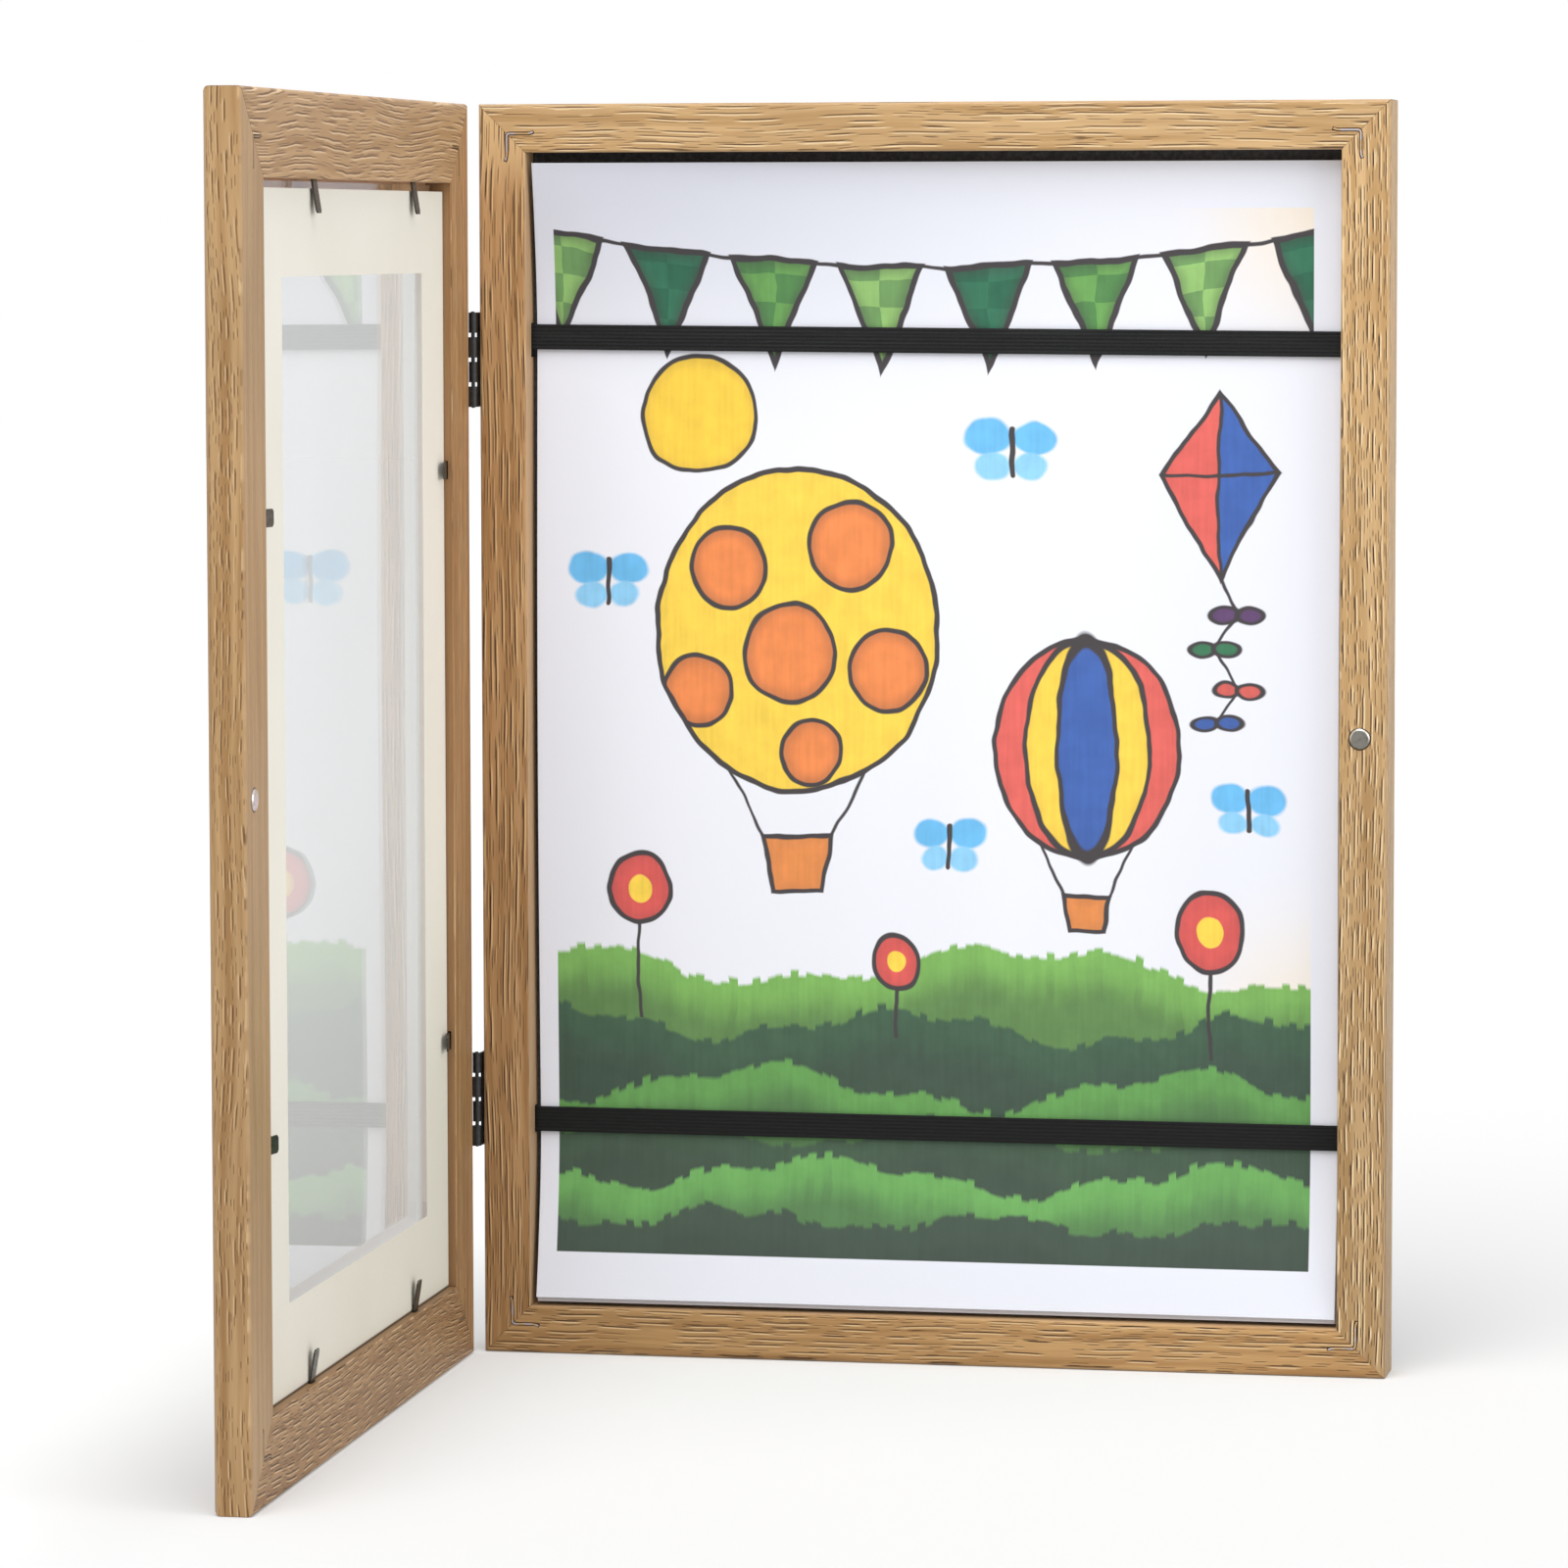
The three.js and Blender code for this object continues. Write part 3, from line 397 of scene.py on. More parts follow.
def oakFoil(name, rail):
    tone = oakTones[rail["tone"]]
    seed, door, level = rail["seed"], name.startswith("door"), "_rail_" in name
    material, tree, shader = newMaterial(name, Specular_IOR_Level=oak["gloss"])
    point = objectPoint(tree)
    if door:
        point = closedPoint(tree, point)
    x, y, z = axes(tree, point)
    along, side = (x, z) if level else (z, x)
    across = calc(tree, "ADD", side, y)

    def grain(scale, detail=2):
        place = combined(tree, times(tree, along, scale[0]), times(tree, across, scale[1]), seed)
        return noise(tree, place, detail=detail)

    bends = [(grain(scale, 1), amount) for *scale, amount in rail["wavers"]]
    for bend, amount in bends:
        across = calc(tree, "ADD", across, affine(tree, bend, amount, -amount / 2))
    band = ramp(tree, grain(oak["bands"], 1), 0.38, 0.62, rail["sparse"], 1)

    streak = ramp(tree, grain(oak["streaks"], 3), 0.32, 0.68)
    wood = mixColour(tree, streak, tone["base"], tone["deep"])
    if "joins" in rail:
        joined = ramp(tree, along, *rail["joins"]["from"])
        wood = mixColour(tree, joined, wood, oakTones[rail["joins"]["tone"]]["base"])
    patchAndPaintedShade = ramp(tree, grain(oak["patches"], 1), 0.3, 0.7, *oak["patchTones"])
    # painted shade: the foil darker towards one end of the rail, where less light falls
    patchAndPaintedShade = times(tree, patchAndPaintedShade, ramp(tree, along, *rail["paintedShadeRamp"]))
    fibre = ramp(tree, grain(oak["fibres"], 1), 0.3, 0.7, *oak["fibreTones"])
    shade = times(tree, patchAndPaintedShade, fibre)
    shade = combined(tree, shade, shade, shade)

    faces = oak["faces"]
    planes = (faces["doorInside"], faces["doorOutside"]) if door else (faces["case"],)
    flat = onFace(tree, y, *planes)
    if door:
        inside = calc(tree, "GREATER_THAN", y, faces["doorInside"] - 0.0002)
        flat = times(tree, flat, affine(tree, inside, rail["inside"] - 1, 1))
    if level:
        flat = calc(tree, "MAXIMUM", flat, onFace(tree, z, 0, faces["top"]))
    else:
        flat = calc(tree, "MAXIMUM", flat, onFace(tree, calc(tree, "ABSOLUTE", x), faces["side"]))
    # rounded edges and inner walls take the edge tone, which holds painted shade on the door's hinge stile
    # and bottom rail and painted light on the case's left stile
    edge = affine(tree, flat, -oak["edgeShare"], oak["edgeShare"], clamp=True)
    wood = mixColour(tree, edge, wood, tone["edge"])
    wood = mixColour(tree, 1, wood, shade, "MULTIPLY")
    if "lip" in rail:
        behind = calc(tree, "LESS_THAN", y, oak["lipFrom"])
        behind = times(tree, behind, calc(tree, "LESS_THAN", flat, 0.5))
        wood = mixColour(tree, behind, wood, rail["lip"])

    height = 0
    for key in ("fineLines", "longLines"):
        step = oak["paintedHighlightStep"] * rail["paintedHighlightSide"]
        pore, ridgeAndPaintedHighlight = poreLines(tree, along, across, oak[key], seed, rail["stretch"], step, band)
        pore, ridgeAndPaintedHighlight = times(tree, pore, flat), times(tree, ridgeAndPaintedHighlight, flat)
        paintedHighlightShare, poreShare = oak["paintedHighlightStrength"] * rail["relief"], oak["poreStrength"] * rail["relief"]
        # the light line is painted highlight; it also raises the bump beside each pore
        wood = mixColour(tree, times(tree, ridgeAndPaintedHighlight, paintedHighlightShare), wood, tone["ridgeAndPaintedHighlight"])
        wood = mixColour(tree, times(tree, pore, poreShare), wood, tone["pore"])
        height = calc(tree, "ADD", height, minus(tree, ridgeAndPaintedHighlight, pore))
    setBase(tree, shader, wood)
    feed(tree, shader.inputs["Roughness"], ramp(tree, grain(oak["fibres"], 1), 0.3, 0.7, *oak["roughness"]))
    bump(tree, shader, height, oak["bumpDepth"], 0.5)
    return material


# each rail sets the side of its pore lines that takes the painted highlight, and a painted shade ramp along
# its length
rails = {
    "case_rail_top": {"tone": "gold", "seed": 3, "stretch": 1.7,
                      "wavers": [(14, 30, 0.003), (60, 50, 0.0008)], "sparse": 0.5, "relief": 0.9,
                      "paintedShadeRamp": (-0.11, 0.11, 0.95, 1), "paintedHighlightSide": -1},
    "case_rail_bottom": {"tone": "tan", "seed": 11, "stretch": 1.4,
                         "wavers": [(14, 30, 0.003), (60, 50, 0.0008)], "sparse": 0.55, "relief": 0.95,
                         "paintedShadeRamp": (-0.11, 0.11, 0.9, 1.07), "paintedHighlightSide": -1},
    "case_stile_left": {"tone": "warm", "seed": 19, "stretch": 2.4,
                        "wavers": [(9, 25, 0.005), (60, 60, 0.0006)], "sparse": 0.95, "relief": 1,
                        "paintedShadeRamp": (0.03, 0.17, 0.88, 1.04), "joins": {"tone": "gold", "from": (0.297, 0.318)},
                        "paintedHighlightSide": 1},
    "case_stile_right": {"tone": "gold", "seed": 31, "stretch": 1.1,
                         "wavers": [(9, 25, 0.004), (60, 60, 0.0006)], "sparse": 1.1, "relief": 1,
                         "paintedShadeRamp": (0.03, 0.29, 0.79, 1.1), "paintedHighlightSide": 1},
    "door_rail_top": {"tone": "sand", "seed": 43, "stretch": 3.4,
                      "wavers": [(8, 20, 0.016), (110, 60, 0.0007)], "sparse": 1.1, "relief": 0.95,
                      "paintedShadeRamp": (-0.11, 0.11, 1, 1), "paintedHighlightSide": -1, "inside": 1, "lip": (255, 205, 165)},
    "door_rail_bottom": {"tone": "bark", "seed": 59, "stretch": 1.2,
                         "wavers": [(8, 20, 0.012), (80, 60, 0.0008)], "sparse": 1.1, "relief": 1,
                         "paintedShadeRamp": (-0.11, 0.11, 1, 1), "paintedHighlightSide": -1, "inside": 1},
    "door_stile_hinge": {"tone": "clay", "seed": 61, "stretch": 2,
                         "wavers": [(9, 25, 0.004), (60, 60, 0.0006)], "sparse": 0.5, "relief": 1,
                         "paintedShadeRamp": (0.03, 0.28, 0.9, 1.08), "paintedHighlightSide": -1, "inside": 0.9},
    "door_stile_free": {"tone": "bronze", "seed": 73, "stretch": 0.8,
                        "wavers": [(9, 25, 0.008), (60, 60, 0.001)], "sparse": 0.5, "relief": 0.85,
                        "paintedShadeRamp": (0.03, 0.18, 0.92, 0.99), "paintedHighlightSide": -1, "inside": 0.3},
}
for railName, rail in rails.items():
    dress(oakFoil(railName + "Foil", rail), railName)
print("rails dressed")


# glue lines: the thin seams that fill the mitres, left short of each V-nail

glueLine = {
    "half": 0.000045,
    "case": {"inset": ((0.0009, 0.0069), (0.0084, 0.0121)), "depth": (-0.00793, -0.003),
             "colour": (178, 140, 98)},
    "door": {"inset": ((0.0007, 0.0106), (0.0121, 0.0199)), "depth": (-0.0115, -0.00947),
             "colour": (160, 127, 92)},
    "outer": (0.1185, 0.326),
}


def makeGlueLines(leaf):
    values, points, faces = glueLine[leaf], [], []
    reach, height = glueLine["outer"]
    for side, foot in ((-1, 0), (-1, 1), (1, 0), (1, 1)):
        up = 1 - 2 * foot
        for near, far in values["inset"]:
            start = len(points)
            for y in values["depth"]:
                for inset, shift in ((near, -1), (far, -1), (far, 1), (near, 1)):
                    slip = shift * glueLine["half"] * math.sqrt(0.5)
                    points.append((side * (reach - inset - slip), y, foot * height + up * (inset - slip)))
            box = [(0, 1, 2, 3), (7, 6, 5, 4), (0, 4, 5, 1), (1, 5, 6, 2), (2, 6, 7, 3), (3, 7, 4, 0)]
            turn = side * up < 0
            faces += [tuple(start + i for i in (face[::-1] if turn else face)) for face in box]
    mesh = bpy.data.meshes.new(leaf + "GlueLines")
    mesh.from_pydata(points, [], faces)
    if leaf == "door":
        hinge = Matrix.Translation((*oak["hinge"], 0))
        mesh.transform(hinge @ turned("Z", -oak["doorTurn"]) @ hinge.inverted())
    material, tree, shader = newMaterial(leaf + "Glue", Roughness=0.6, Specular_IOR_Level=0.2)
    speck = noise(tree, objectPoint(tree), 900, 2)
    base = colour(*values["colour"])
    setBase(tree, shader, mixColour(tree, ramp(tree, speck, 0.4, 0.7), base, darker(base, 0.72)))
    mesh.materials.append(material)
    piece = placed(leaf + "GlueLines", mesh)
    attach(piece, leaf)


for leafName in ("case", "door"):
    makeGlueLines(leafName)
print("glue lines made")


# metals

metals = {
    "zinc": {"colour": (198, 192, 196), "roughness": 0.36, "grain": 1100},
    "springSteel": {"colour": (92, 90, 86), "roughness": 0.34, "grain": 1200},
    "enamel": ((17, 17, 19), (40, 41, 44)),
}


def metal(name, values):
    material, tree, shader = newMaterial(name, Metallic=1, Roughness=values["roughness"])
    grain = noise(tree, objectPoint(tree), values["grain"], 3)
    base = colour(*values["colour"])
    setBase(tree, shader, mixColour(tree, ramp(tree, grain, 0.3, 0.75), base, darker(base, 0.62)))
    rough = ramp(tree, grain, 0.3, 0.7, values["roughness"] * 0.8, values["roughness"] * 1.3)
    tree.links.new(rough, shader.inputs["Roughness"])
    return material


magnets = {
    "case_magnet": {"face": (132, 129, 122), "rim": (236, 233, 226), "middle": (0.1113, -0.008, 0.1641)},
    "door_magnet": {"face": (222, 212, 212), "rim": (214, 206, 204), "middle": (-0.12, -0.24, 0.1641)},
    "rimFrom": 0.00215,
    "paintedRimHighlight": (-0.0012, 0.0008),
    "worn": (205, 203, 200),
}


def nickel(name, values):
    material, tree, shader = newMaterial(name, Metallic=1, Roughness=0.3)
    point = vectorCalc(tree, "SUBTRACT", objectPoint(tree), values["middle"])
    speck = noise(tree, point, 700, 3)
    # painted highlight: a bright rim on the upper part of the magnet, where light catches its edge
    rim = ramp(tree, vectorCalc(tree, "LENGTH", point), magnets["rimFrom"], magnets["rimFrom"] + 0.0002)
    up = axes(tree, point)[2]
    rim = times(tree, rim, ramp(tree, up, *magnets["paintedRimHighlight"]))
    base = mixColour(tree, rim, values["face"], values["rim"])
    worn = mixColour(tree, 1, base, magnets["worn"], "MULTIPLY")
    setBase(tree, shader, mixColour(tree, ramp(tree, speck, 0.45, 0.8), base, worn))
    return material


cornerNails = {
    "case_corner": {"bright": (190, 181, 184), "dull": (196, 162, 120), "from": 0.44, "metal": 0.6},
    "door_corner": {"bright": (150, 124, 98), "dull": (128, 102, 78), "from": 0.4, "metal": 0.2},
}


def cornerNail(name, values):
    material, tree, shader = newMaterial(name, Metallic=values["metal"], Roughness=0.42)
    speck = noise(tree, objectPoint(tree), 420, 3)
    share = ramp(tree, speck, values["from"], values["from"] + 0.12)
    setBase(tree, shader, mixColour(tree, share, values["dull"], values["bright"]))
    return material


def blackEnamel():
    material, tree, shader = newMaterial("blackEnamel", Roughness=0.38, Specular_IOR_Level=0.5)
    speck = noise(tree, objectPoint(tree), 1400, 2)
    setBase(tree, shader, mixColour(tree, ramp(tree, speck, 0.45, 0.8), *metals["enamel"]))
    bump(tree, shader, speck, 0.00002, 0.4)
    return material


for magnetName in ("case_magnet", "door_magnet"):
    dress(nickel(magnetName + "Nickel", magnets[magnetName]), magnetName)
for nailName, nail in cornerNails.items():
    dress(cornerNail(nailName + "Nail", nail), nailName)
dress(metal("zinc", metals["zinc"]), "strap_staple", "sawtooth")
dress(metal("springSteel", metals["springSteel"]), "mat_point", "back_point")
dress(blackEnamel(), "hinge")
print("metals dressed")


# mat board, back board and glazing

fibres = ((58, 58, 60), (84, 83, 82))
matWindow = {
    "card": ((243, 240, 230), (238, 234, 223)),
    "tooth": (228, 223, 210),
    "half": (0.073, 0.1201),
    "middle": 0.1626,
    "bevel": 0.0025,
    "back": -0.01165,
    "core": -0.0132,
    "cut": (241, 232, 225),
    "sill": (228, 217, 215),
    "sillTo": 0.046,
    "line": (246, 244, 240),
    "paintedShadowLine": (78, 56, 36),
    "paintedShadowLineFade": (0.0207, 0.0214, 0.95, 0),
    "paintedLowShade": (0.02, 0.15, 0.55, 0),
    "paintedLowShadeColour": (232, 229, 224),
}


def matBoard():
    material, tree, shader = newMaterial("matBoard", Roughness=0.9, Specular_IOR_Level=0.2)
    point = objectPoint(tree)
    tooth = noise(tree, point, 1800, 4)
    cloud = noise(tree, point, 14, 2)
    base = mixColour(tree, ramp(tree, cloud, 0.3, 0.7), *matWindow["card"])
    base = mixColour(tree, ramp(tree, tooth, 0.2, 0.8, 0, 0.25), base, matWindow["tooth"])
    x, y, z = axes(tree, closedPoint(tree, point))
    sideways = minus(tree, calc(tree, "ABSOLUTE", x), matWindow["half"][0])
    upright = minus(tree, apart(tree, z, matWindow["middle"]), matWindow["half"][1])
    wall = calc(tree, "LESS_THAN", calc(tree, "MAXIMUM", sideways, upright), matWindow["bevel"])
    wall = times(tree, wall, calc(tree, "LESS_THAN", y, matWindow["back"]))
    low = calc(tree, "LESS_THAN", z, matWindow["sillTo"])
    cut = mixColour(tree, low, matWindow["cut"], matWindow["sill"])
    cut = mixColour(tree, calc(tree, "LESS_THAN", y, matWindow["core"]), cut, matWindow["line"])
    board = mixColour(tree, wall, base, cut)
    # painted shadow: a dark line along the foot of the mat, where it meets the bottom rail
    board = mixColour(tree, ramp(tree, z, *matWindow["paintedShadowLineFade"]), board, matWindow["paintedShadowLine"])
    # painted shade: the mat darker towards the bottom, where less light reaches it
    paintedLowShadeBoard = mixColour(tree, 1, board, matWindow["paintedLowShadeColour"], "MULTIPLY")
    board = mixColour(tree, ramp(tree, z, *matWindow["paintedLowShade"]), board, paintedLowShadeBoard)
    setBase(tree, shader, board)
    bump(tree, shader, tooth, 0.00003, 0.5)
    return material


def fibreBoard():
    material, tree, shader = newMaterial("fibreBoard", Roughness=0.85, Specular_IOR_Level=0.25)
    point = objectPoint(tree)
    fleck = noise(tree, point, 700, 5, roughness=0.65)
    setBase(tree, shader, mixColour(tree, ramp(tree, fleck, 0.3, 0.75), *fibres))
    bump(tree, shader, fleck, 0.00008, 0.5)
    return material


glass = {
    "tints": ((231, 233, 232), (236, 238, 237)),
    "paintedShadeTint": (217, 216, 213),
    "lowFade": (0.04, 0.16, 0.7, 0),
}


def clearGlass():
    material, tree, shader = newMaterial("clearGlass", Roughness=0.0, IOR=1.22, Transmission_Weight=1)
    point = objectPoint(tree)
    tint = mixColour(tree, noise(tree, point, 20, 2), *glass["tints"])
    height = axes(tree, point)[2]
    # painted shade: the glass darker towards the bottom, standing in for the shaded floor seen through it
    tint = mixColour(tree, ramp(tree, height, *glass["lowFade"]), tint, glass["paintedShadeTint"])
    setBase(tree, shader, tint)
    return material


dress(matBoard(), "mat_board")
dress(fibreBoard(), "back_board")
dress(clearGlass(), "glazing")
print("panels dressed")


# sheets of paper

sheet = {
    "width": 0.210,
    "height": 0.2962,
    "thickness": 0.0002,
    "shift": 0.0003,
    "columns": 56,
    "rows": 84,
    "rim": 0.00015,
    "bandOuter": 0.05663,
    "bandInner": 0.06537,
    "floor": 0.0125,
    "frameHeight": 0.326,
    "between": 0.0014,
    "ripple": 0.0003,
    "rippleLength": 0.034,
    "bottomLifts": (0.0048, 0.0018, 0.001),
    "topLifts": (0.0005, 0.0058, 0.0004),
    "curlPower": 1.5,
    "plain": ((238, 240, 248), (231, 233, 242)),
}


def sheetLift(x, z):
    fromEnd = min(z, sheet["frameHeight"] - z)
    right = 0.5 + x / sheet["width"]
    left = 1 - right
    if fromEnd > sheet["bandInner"]:
        span = sheet["frameHeight"] - 2 * sheet["bandInner"]
        share = math.sin(math.pi * (z - sheet["bandInner"]) / span)
        ripple = sheet["ripple"] * math.sin(2 * math.pi * x / sheet["rippleLength"]) * right
        return share * (sheet["between"] * (left ** 2 + right ** 2) + sheet["ripple"] + ripple)
    if fromEnd >= sheet["bandOuter"]:
        return 0
    past = min((sheet["bandOuter"] - fromEnd) / (sheet["bandOuter"] - sheet["floor"]), 1)
    middle, atLeft, atRight = sheet["bottomLifts" if z < sheet["bandOuter"] else "topLifts"]
    return past ** sheet["curlPower"] * (middle + atLeft * left ** 2 + atRight * right ** 2)


# a narrow row or column along each edge keeps the smooth shading off the rest
def stops(count, length):
    rim = sheet["rim"] / length
    return [0, rim] + [step / count for step in range(1, count)] + [1 - rim, 1]


def makeSheet(name, material, back, bottom, share):
    across, upwards = stops(sheet["columns"], sheet["width"]), stops(sheet["rows"], sheet["height"])
    columns, rows = len(across) - 1, len(upwards) - 1
    points, flat = [], []
    for layer in (0, 1):
        for v in upwards:
            for u in across:
                x = (u - 0.5) * sheet["width"]
                z = bottom + v * sheet["height"]
                y = back - layer * sheet["thickness"] - share * sheetLift(x, z)
                points.append((x + sheet["shift"], y, z))
                flat.append((u, v))
    wide = columns + 1
    layerSize = wide * (rows + 1)
    faces = []
    for row in range(rows):
        for column in range(columns):
            a = row * wide + column
            faces.append((a, a + wide, a + wide + 1, a + 1))
            faces.append(tuple(layerSize + i for i in (a, a + 1, a + wide + 1, a + wide)))
    edge = list(range(wide))
    edge += [row * wide + columns for row in range(1, rows + 1)]
    edge += [rows * wide + column for column in range(columns - 1, -1, -1)]
    edge += [row * wide for row in range(rows - 1, 0, -1)]
    for a, b in zip(edge, edge[1:] + edge[:1]):
        faces.append((a, b, layerSize + b, layerSize + a))
    mesh = bpy.data.meshes.new(name)
    mesh.from_pydata(points, [], faces)
    mesh.materials.append(material)
    uv = mesh.uv_layers.new(name="sheet")
    for loop in mesh.loops:
        uv.data[loop.index].uv = flat[loop.vertex_index]
    mesh.shade_smooth()
    for polygon in mesh.polygons[2 * rows * columns:]:
        polygon.use_smooth = False
    return placed(name, mesh)


def finishPiece(piece, replaced):
    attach(piece, "case")
    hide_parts(replaced)


def plainPaper():
    material, tree, shader = newMaterial("plainPaper", Roughness=0.75, Specular_IOR_Level=0.25)
    tooth = noise(tree, objectPoint(tree), 2500, 3)
    setBase(tree, shader, mixColour(tree, tooth, *sheet["plain"]))
    bump(tree, shader, tooth, 0.00001, 0.5)
    return material


# the drawing: balloons over hills, in felt pen and watercolour, in millimetres on the sheet

drawing = {
    "ink": (72, 68, 70),
    "penWidth": 1.2,
    "haloWidth": 4,
    "stroke": 2.1,
    "paper": (238, 240, 248),
    "margin": ((240, 242, 250), (235, 237, 246)),
    "shade": (225, 227, 232),
    "shadeTop": ((215, 290), (-100, 70, 1, 0.2)),
    "shadeRight": (20, 95, 0, 0.25),
    "shadeLeft": (-100, -60, 0.3, 0),
    "shadeLow": (4, 40, 0.4, 0),
    "warm": {"from": (55, 98), "middle": 178, "reach": (60, 105), "share": 0.8, "colour": (250, 236, 216)},
    "printLow": (-100, 12),
    "printHigh": (98, 285),
    "hills": [
        (88, 5, 21, 0.4, (128, 182, 96)),
        (72, 4, 15, 2.2, (70, 98, 78)),
        (56, 5, 18, 4.1, (104, 160, 88)),
        (44, 3.5, 13, 1.2, (72, 94, 76)),
        (33, 4, 17, 3.3, (112, 172, 96)),
        (21, 2.5, 11, 0.2, (72, 88, 76)),
    ],
    "ragged": 2.2,
    "valley": (66, 76, 70),
    "pennants": {"pitch": 28, "half": 10.5, "length": 26, "top": 279, "sag": 9, "check": 7},
    "greens": [(58, 120, 92), (112, 168, 92), (150, 196, 116)],
    "darkGreen": (40, 92, 70),
    "sun": (-62, 232, 15, 15),
    "sunny": (250, 208, 76),
    "yellow": (250, 212, 84),
    "red": (226, 106, 98),
    "blue": (70, 104, 178),
    "orange": (238, 142, 84),
    "basket": (232, 146, 84),
    "spotted": (-36, 176, 37, 42),
    "spottedBasket": (9, 122, 108),
    "spots": [(-18, 16, 10), (14, 22, 11), (-2, -6, 12), (-26, -16, 9), (24, -10, 10), (4, -32, 8)],
    "striped": (40, 146, 24, 28),
    "stripedBasket": (6, 108, 99),
    "kite": [(74, 238), (59, 217), (74, 190), (89, 217)],
    "tail": [(74, 190), (79, 181), (73, 172), (79, 162), (74, 153)],
    "bows": [(104, 74, 118), (64, 128, 92), (226, 106, 98), (70, 104, 178)],
    "bow": (3.4, 1.9),
    "butterflies": [(20, 222, 6), (82, 130, 5), (-86, 188, 5.5), (4, 120, 5)],
    "wings": [(112, 190, 240), (146, 208, 246)],
    "flowers": [(-78, 74, 26, 8), (72, 66, 24, 9), (-10, 70, 14, 6)],
    "petals": (222, 96, 92),
    "middle": (252, 214, 84),
}


class Pen:
    def __init__(self, tree, point):
        self.tree = tree
        self.point = point
        self.picture = drawing["paper"]

    def split(self, point=None):
        return axes(self.tree, point or self.point)[:2]

    def ellipse(self, x, z, rx, rz):
        away = vectorCalc(self.tree, "SUBTRACT", self.point, (x, z, 0))
        away = vectorCalc(self.tree, "DIVIDE", away, (rx, rz, 1))
        length = vectorCalc(self.tree, "LENGTH", away)
        size = min(rx, rz)
        return affine(self.tree, length, size, -size)

    def polygon(self, *corners):
        distance = None
        for (ax, az), (bx, bz) in zip(corners, corners[1:] + corners[:1]):
            length = math.hypot(bx - ax, bz - az)
            normal = ((bz - az) / length, (ax - bx) / length, 0)
            side = vectorCalc(self.tree, "DOT_PRODUCT", self.point, normal)
            side = minus(self.tree, side, ax * normal[0] + az * normal[1])
            distance = side if distance is None else calc(self.tree, "MAXIMUM", distance, side)
        return distance

    def line(self, ax, az, bx, bz):
        reach = (bx - ax, bz - az, 0)
        square = reach[0] ** 2 + reach[1] ** 2
        away = vectorCalc(self.tree, "SUBTRACT", self.point, (ax, az, 0))
        share = vectorCalc(self.tree, "DOT_PRODUCT", away, tuple(part / square for part in reach))
        share = calc(self.tree, "ADD", share, 0, clamp=True)
        near = scaled(self.tree, reach, share)
        return vectorCalc(self.tree, "LENGTH", vectorCalc(self.tree, "SUBTRACT", away, near))

    def fill(self, distance, paint, within=None, soft=0.3):
        mask = affine(self.tree, distance, -1 / soft, 0.5, clamp=True)
        if within is not None:
            inner = affine(self.tree, within, -1 / soft, 0.5, clamp=True)
            mask = times(self.tree, mask, inner)
        self.picture = mixColour(self.tree, mask, self.picture, paint)

    def outline(self, distance, width=None, within=None):
        width = width or drawing["penWidth"]
        away = calc(self.tree, "ABSOLUTE", distance)
        away = minus(self.tree, away, width / 2)
        self.fill(away, drawing["ink"], within)

    def shape(self, distance, paint, within=None, width=None, halo=0.3):
        self.fill(distance, paint, within)
        inner = ramp(self.tree, distance, -drawing["haloWidth"], 0)
        inner = times(self.tree, inner, calc(self.tree, "LESS_THAN", distance, 0))
        if within is not None:
            inner = times(self.tree, inner, calc(self.tree, "LESS_THAN", within, 0))
        dark = mixColour(self.tree, 0.55, self.picture, drawing["ink"])
        self.picture = mixColour(self.tree, times(self.tree, inner, halo), self.picture, dark)
        self.outline(distance, width, within)


def drawHills(pen):
    tree = pen.tree
    x, z = pen.split()
    for base, swing, length, phase, paint in drawing["hills"]:
        wave = calc(tree, "SINE", affine(tree, x, 1 / length, phase))
        small = calc(tree, "SINE", affine(tree, x, 3.1 / length, 2 * phase))
        crest = affine(tree, wave, swing, base)
        crest = affine(tree, small, swing / 3, crest)
        number = calc(tree, "FLOOR", calc(tree, "DIVIDE", x, drawing["stroke"]))
        lot = lotOf(tree, calc(tree, "ADD", number, base))
        crest = affine(tree, lot, drawing["ragged"], crest)
        below = minus(tree, crest, z)
        pen.fill(times(tree, below, -1), paint, soft=1)
        deep = mixColour(tree, ramp(tree, below, 2, 14, 0, 0.55), pen.picture, drawing["valley"])
        pen.picture = mixColour(tree, calc(tree, "GREATER_THAN", below, 0), pen.picture, deep)


def drawPennants(pen):
    values = drawing["pennants"]
    tree = pen.tree
    x, z = pen.split()
    number = calc(tree, "FLOOR", calc(tree, "DIVIDE", x, values["pitch"]))
    middle = affine(tree, number, values["pitch"], values["pitch"] / 2)
    local = minus(tree, x, middle)
    square = times(tree, calc(tree, "DIVIDE", x, 100), calc(tree, "DIVIDE", x, 100))
    string = affine(tree, square, values["sag"], values["top"] - values["sag"])
    below = minus(tree, string, z)
    width = affine(tree, below, -values["half"] / values["length"], values["half"])
    side = minus(tree, calc(tree, "ABSOLUTE", local), width)
    distance = calc(tree, "MAXIMUM", side, times(tree, below, -1))
    third = calc(tree, "FLOORED_MODULO", number, 3)
    greens = drawing["greens"]
    paint = mixColour(tree, calc(tree, "COMPARE", third, 1, 0.4), greens[0], greens[1])
    paint = mixColour(tree, calc(tree, "COMPARE", third, 2, 0.4), paint, greens[2])
    half = calc(tree, "GREATER_THAN", local, 0)
    stripe = calc(tree, "GREATER_THAN", calc(tree, "PINGPONG", below, values["check"]), values["check"] / 2)
    dark = times(tree, calc(tree, "COMPARE", half, stripe, 0.4), 0.45)
    pen.shape(distance, mixColour(tree, dark, paint, drawing["darkGreen"]), width=1.6, halo=0.8)
    pen.outline(below, 1)


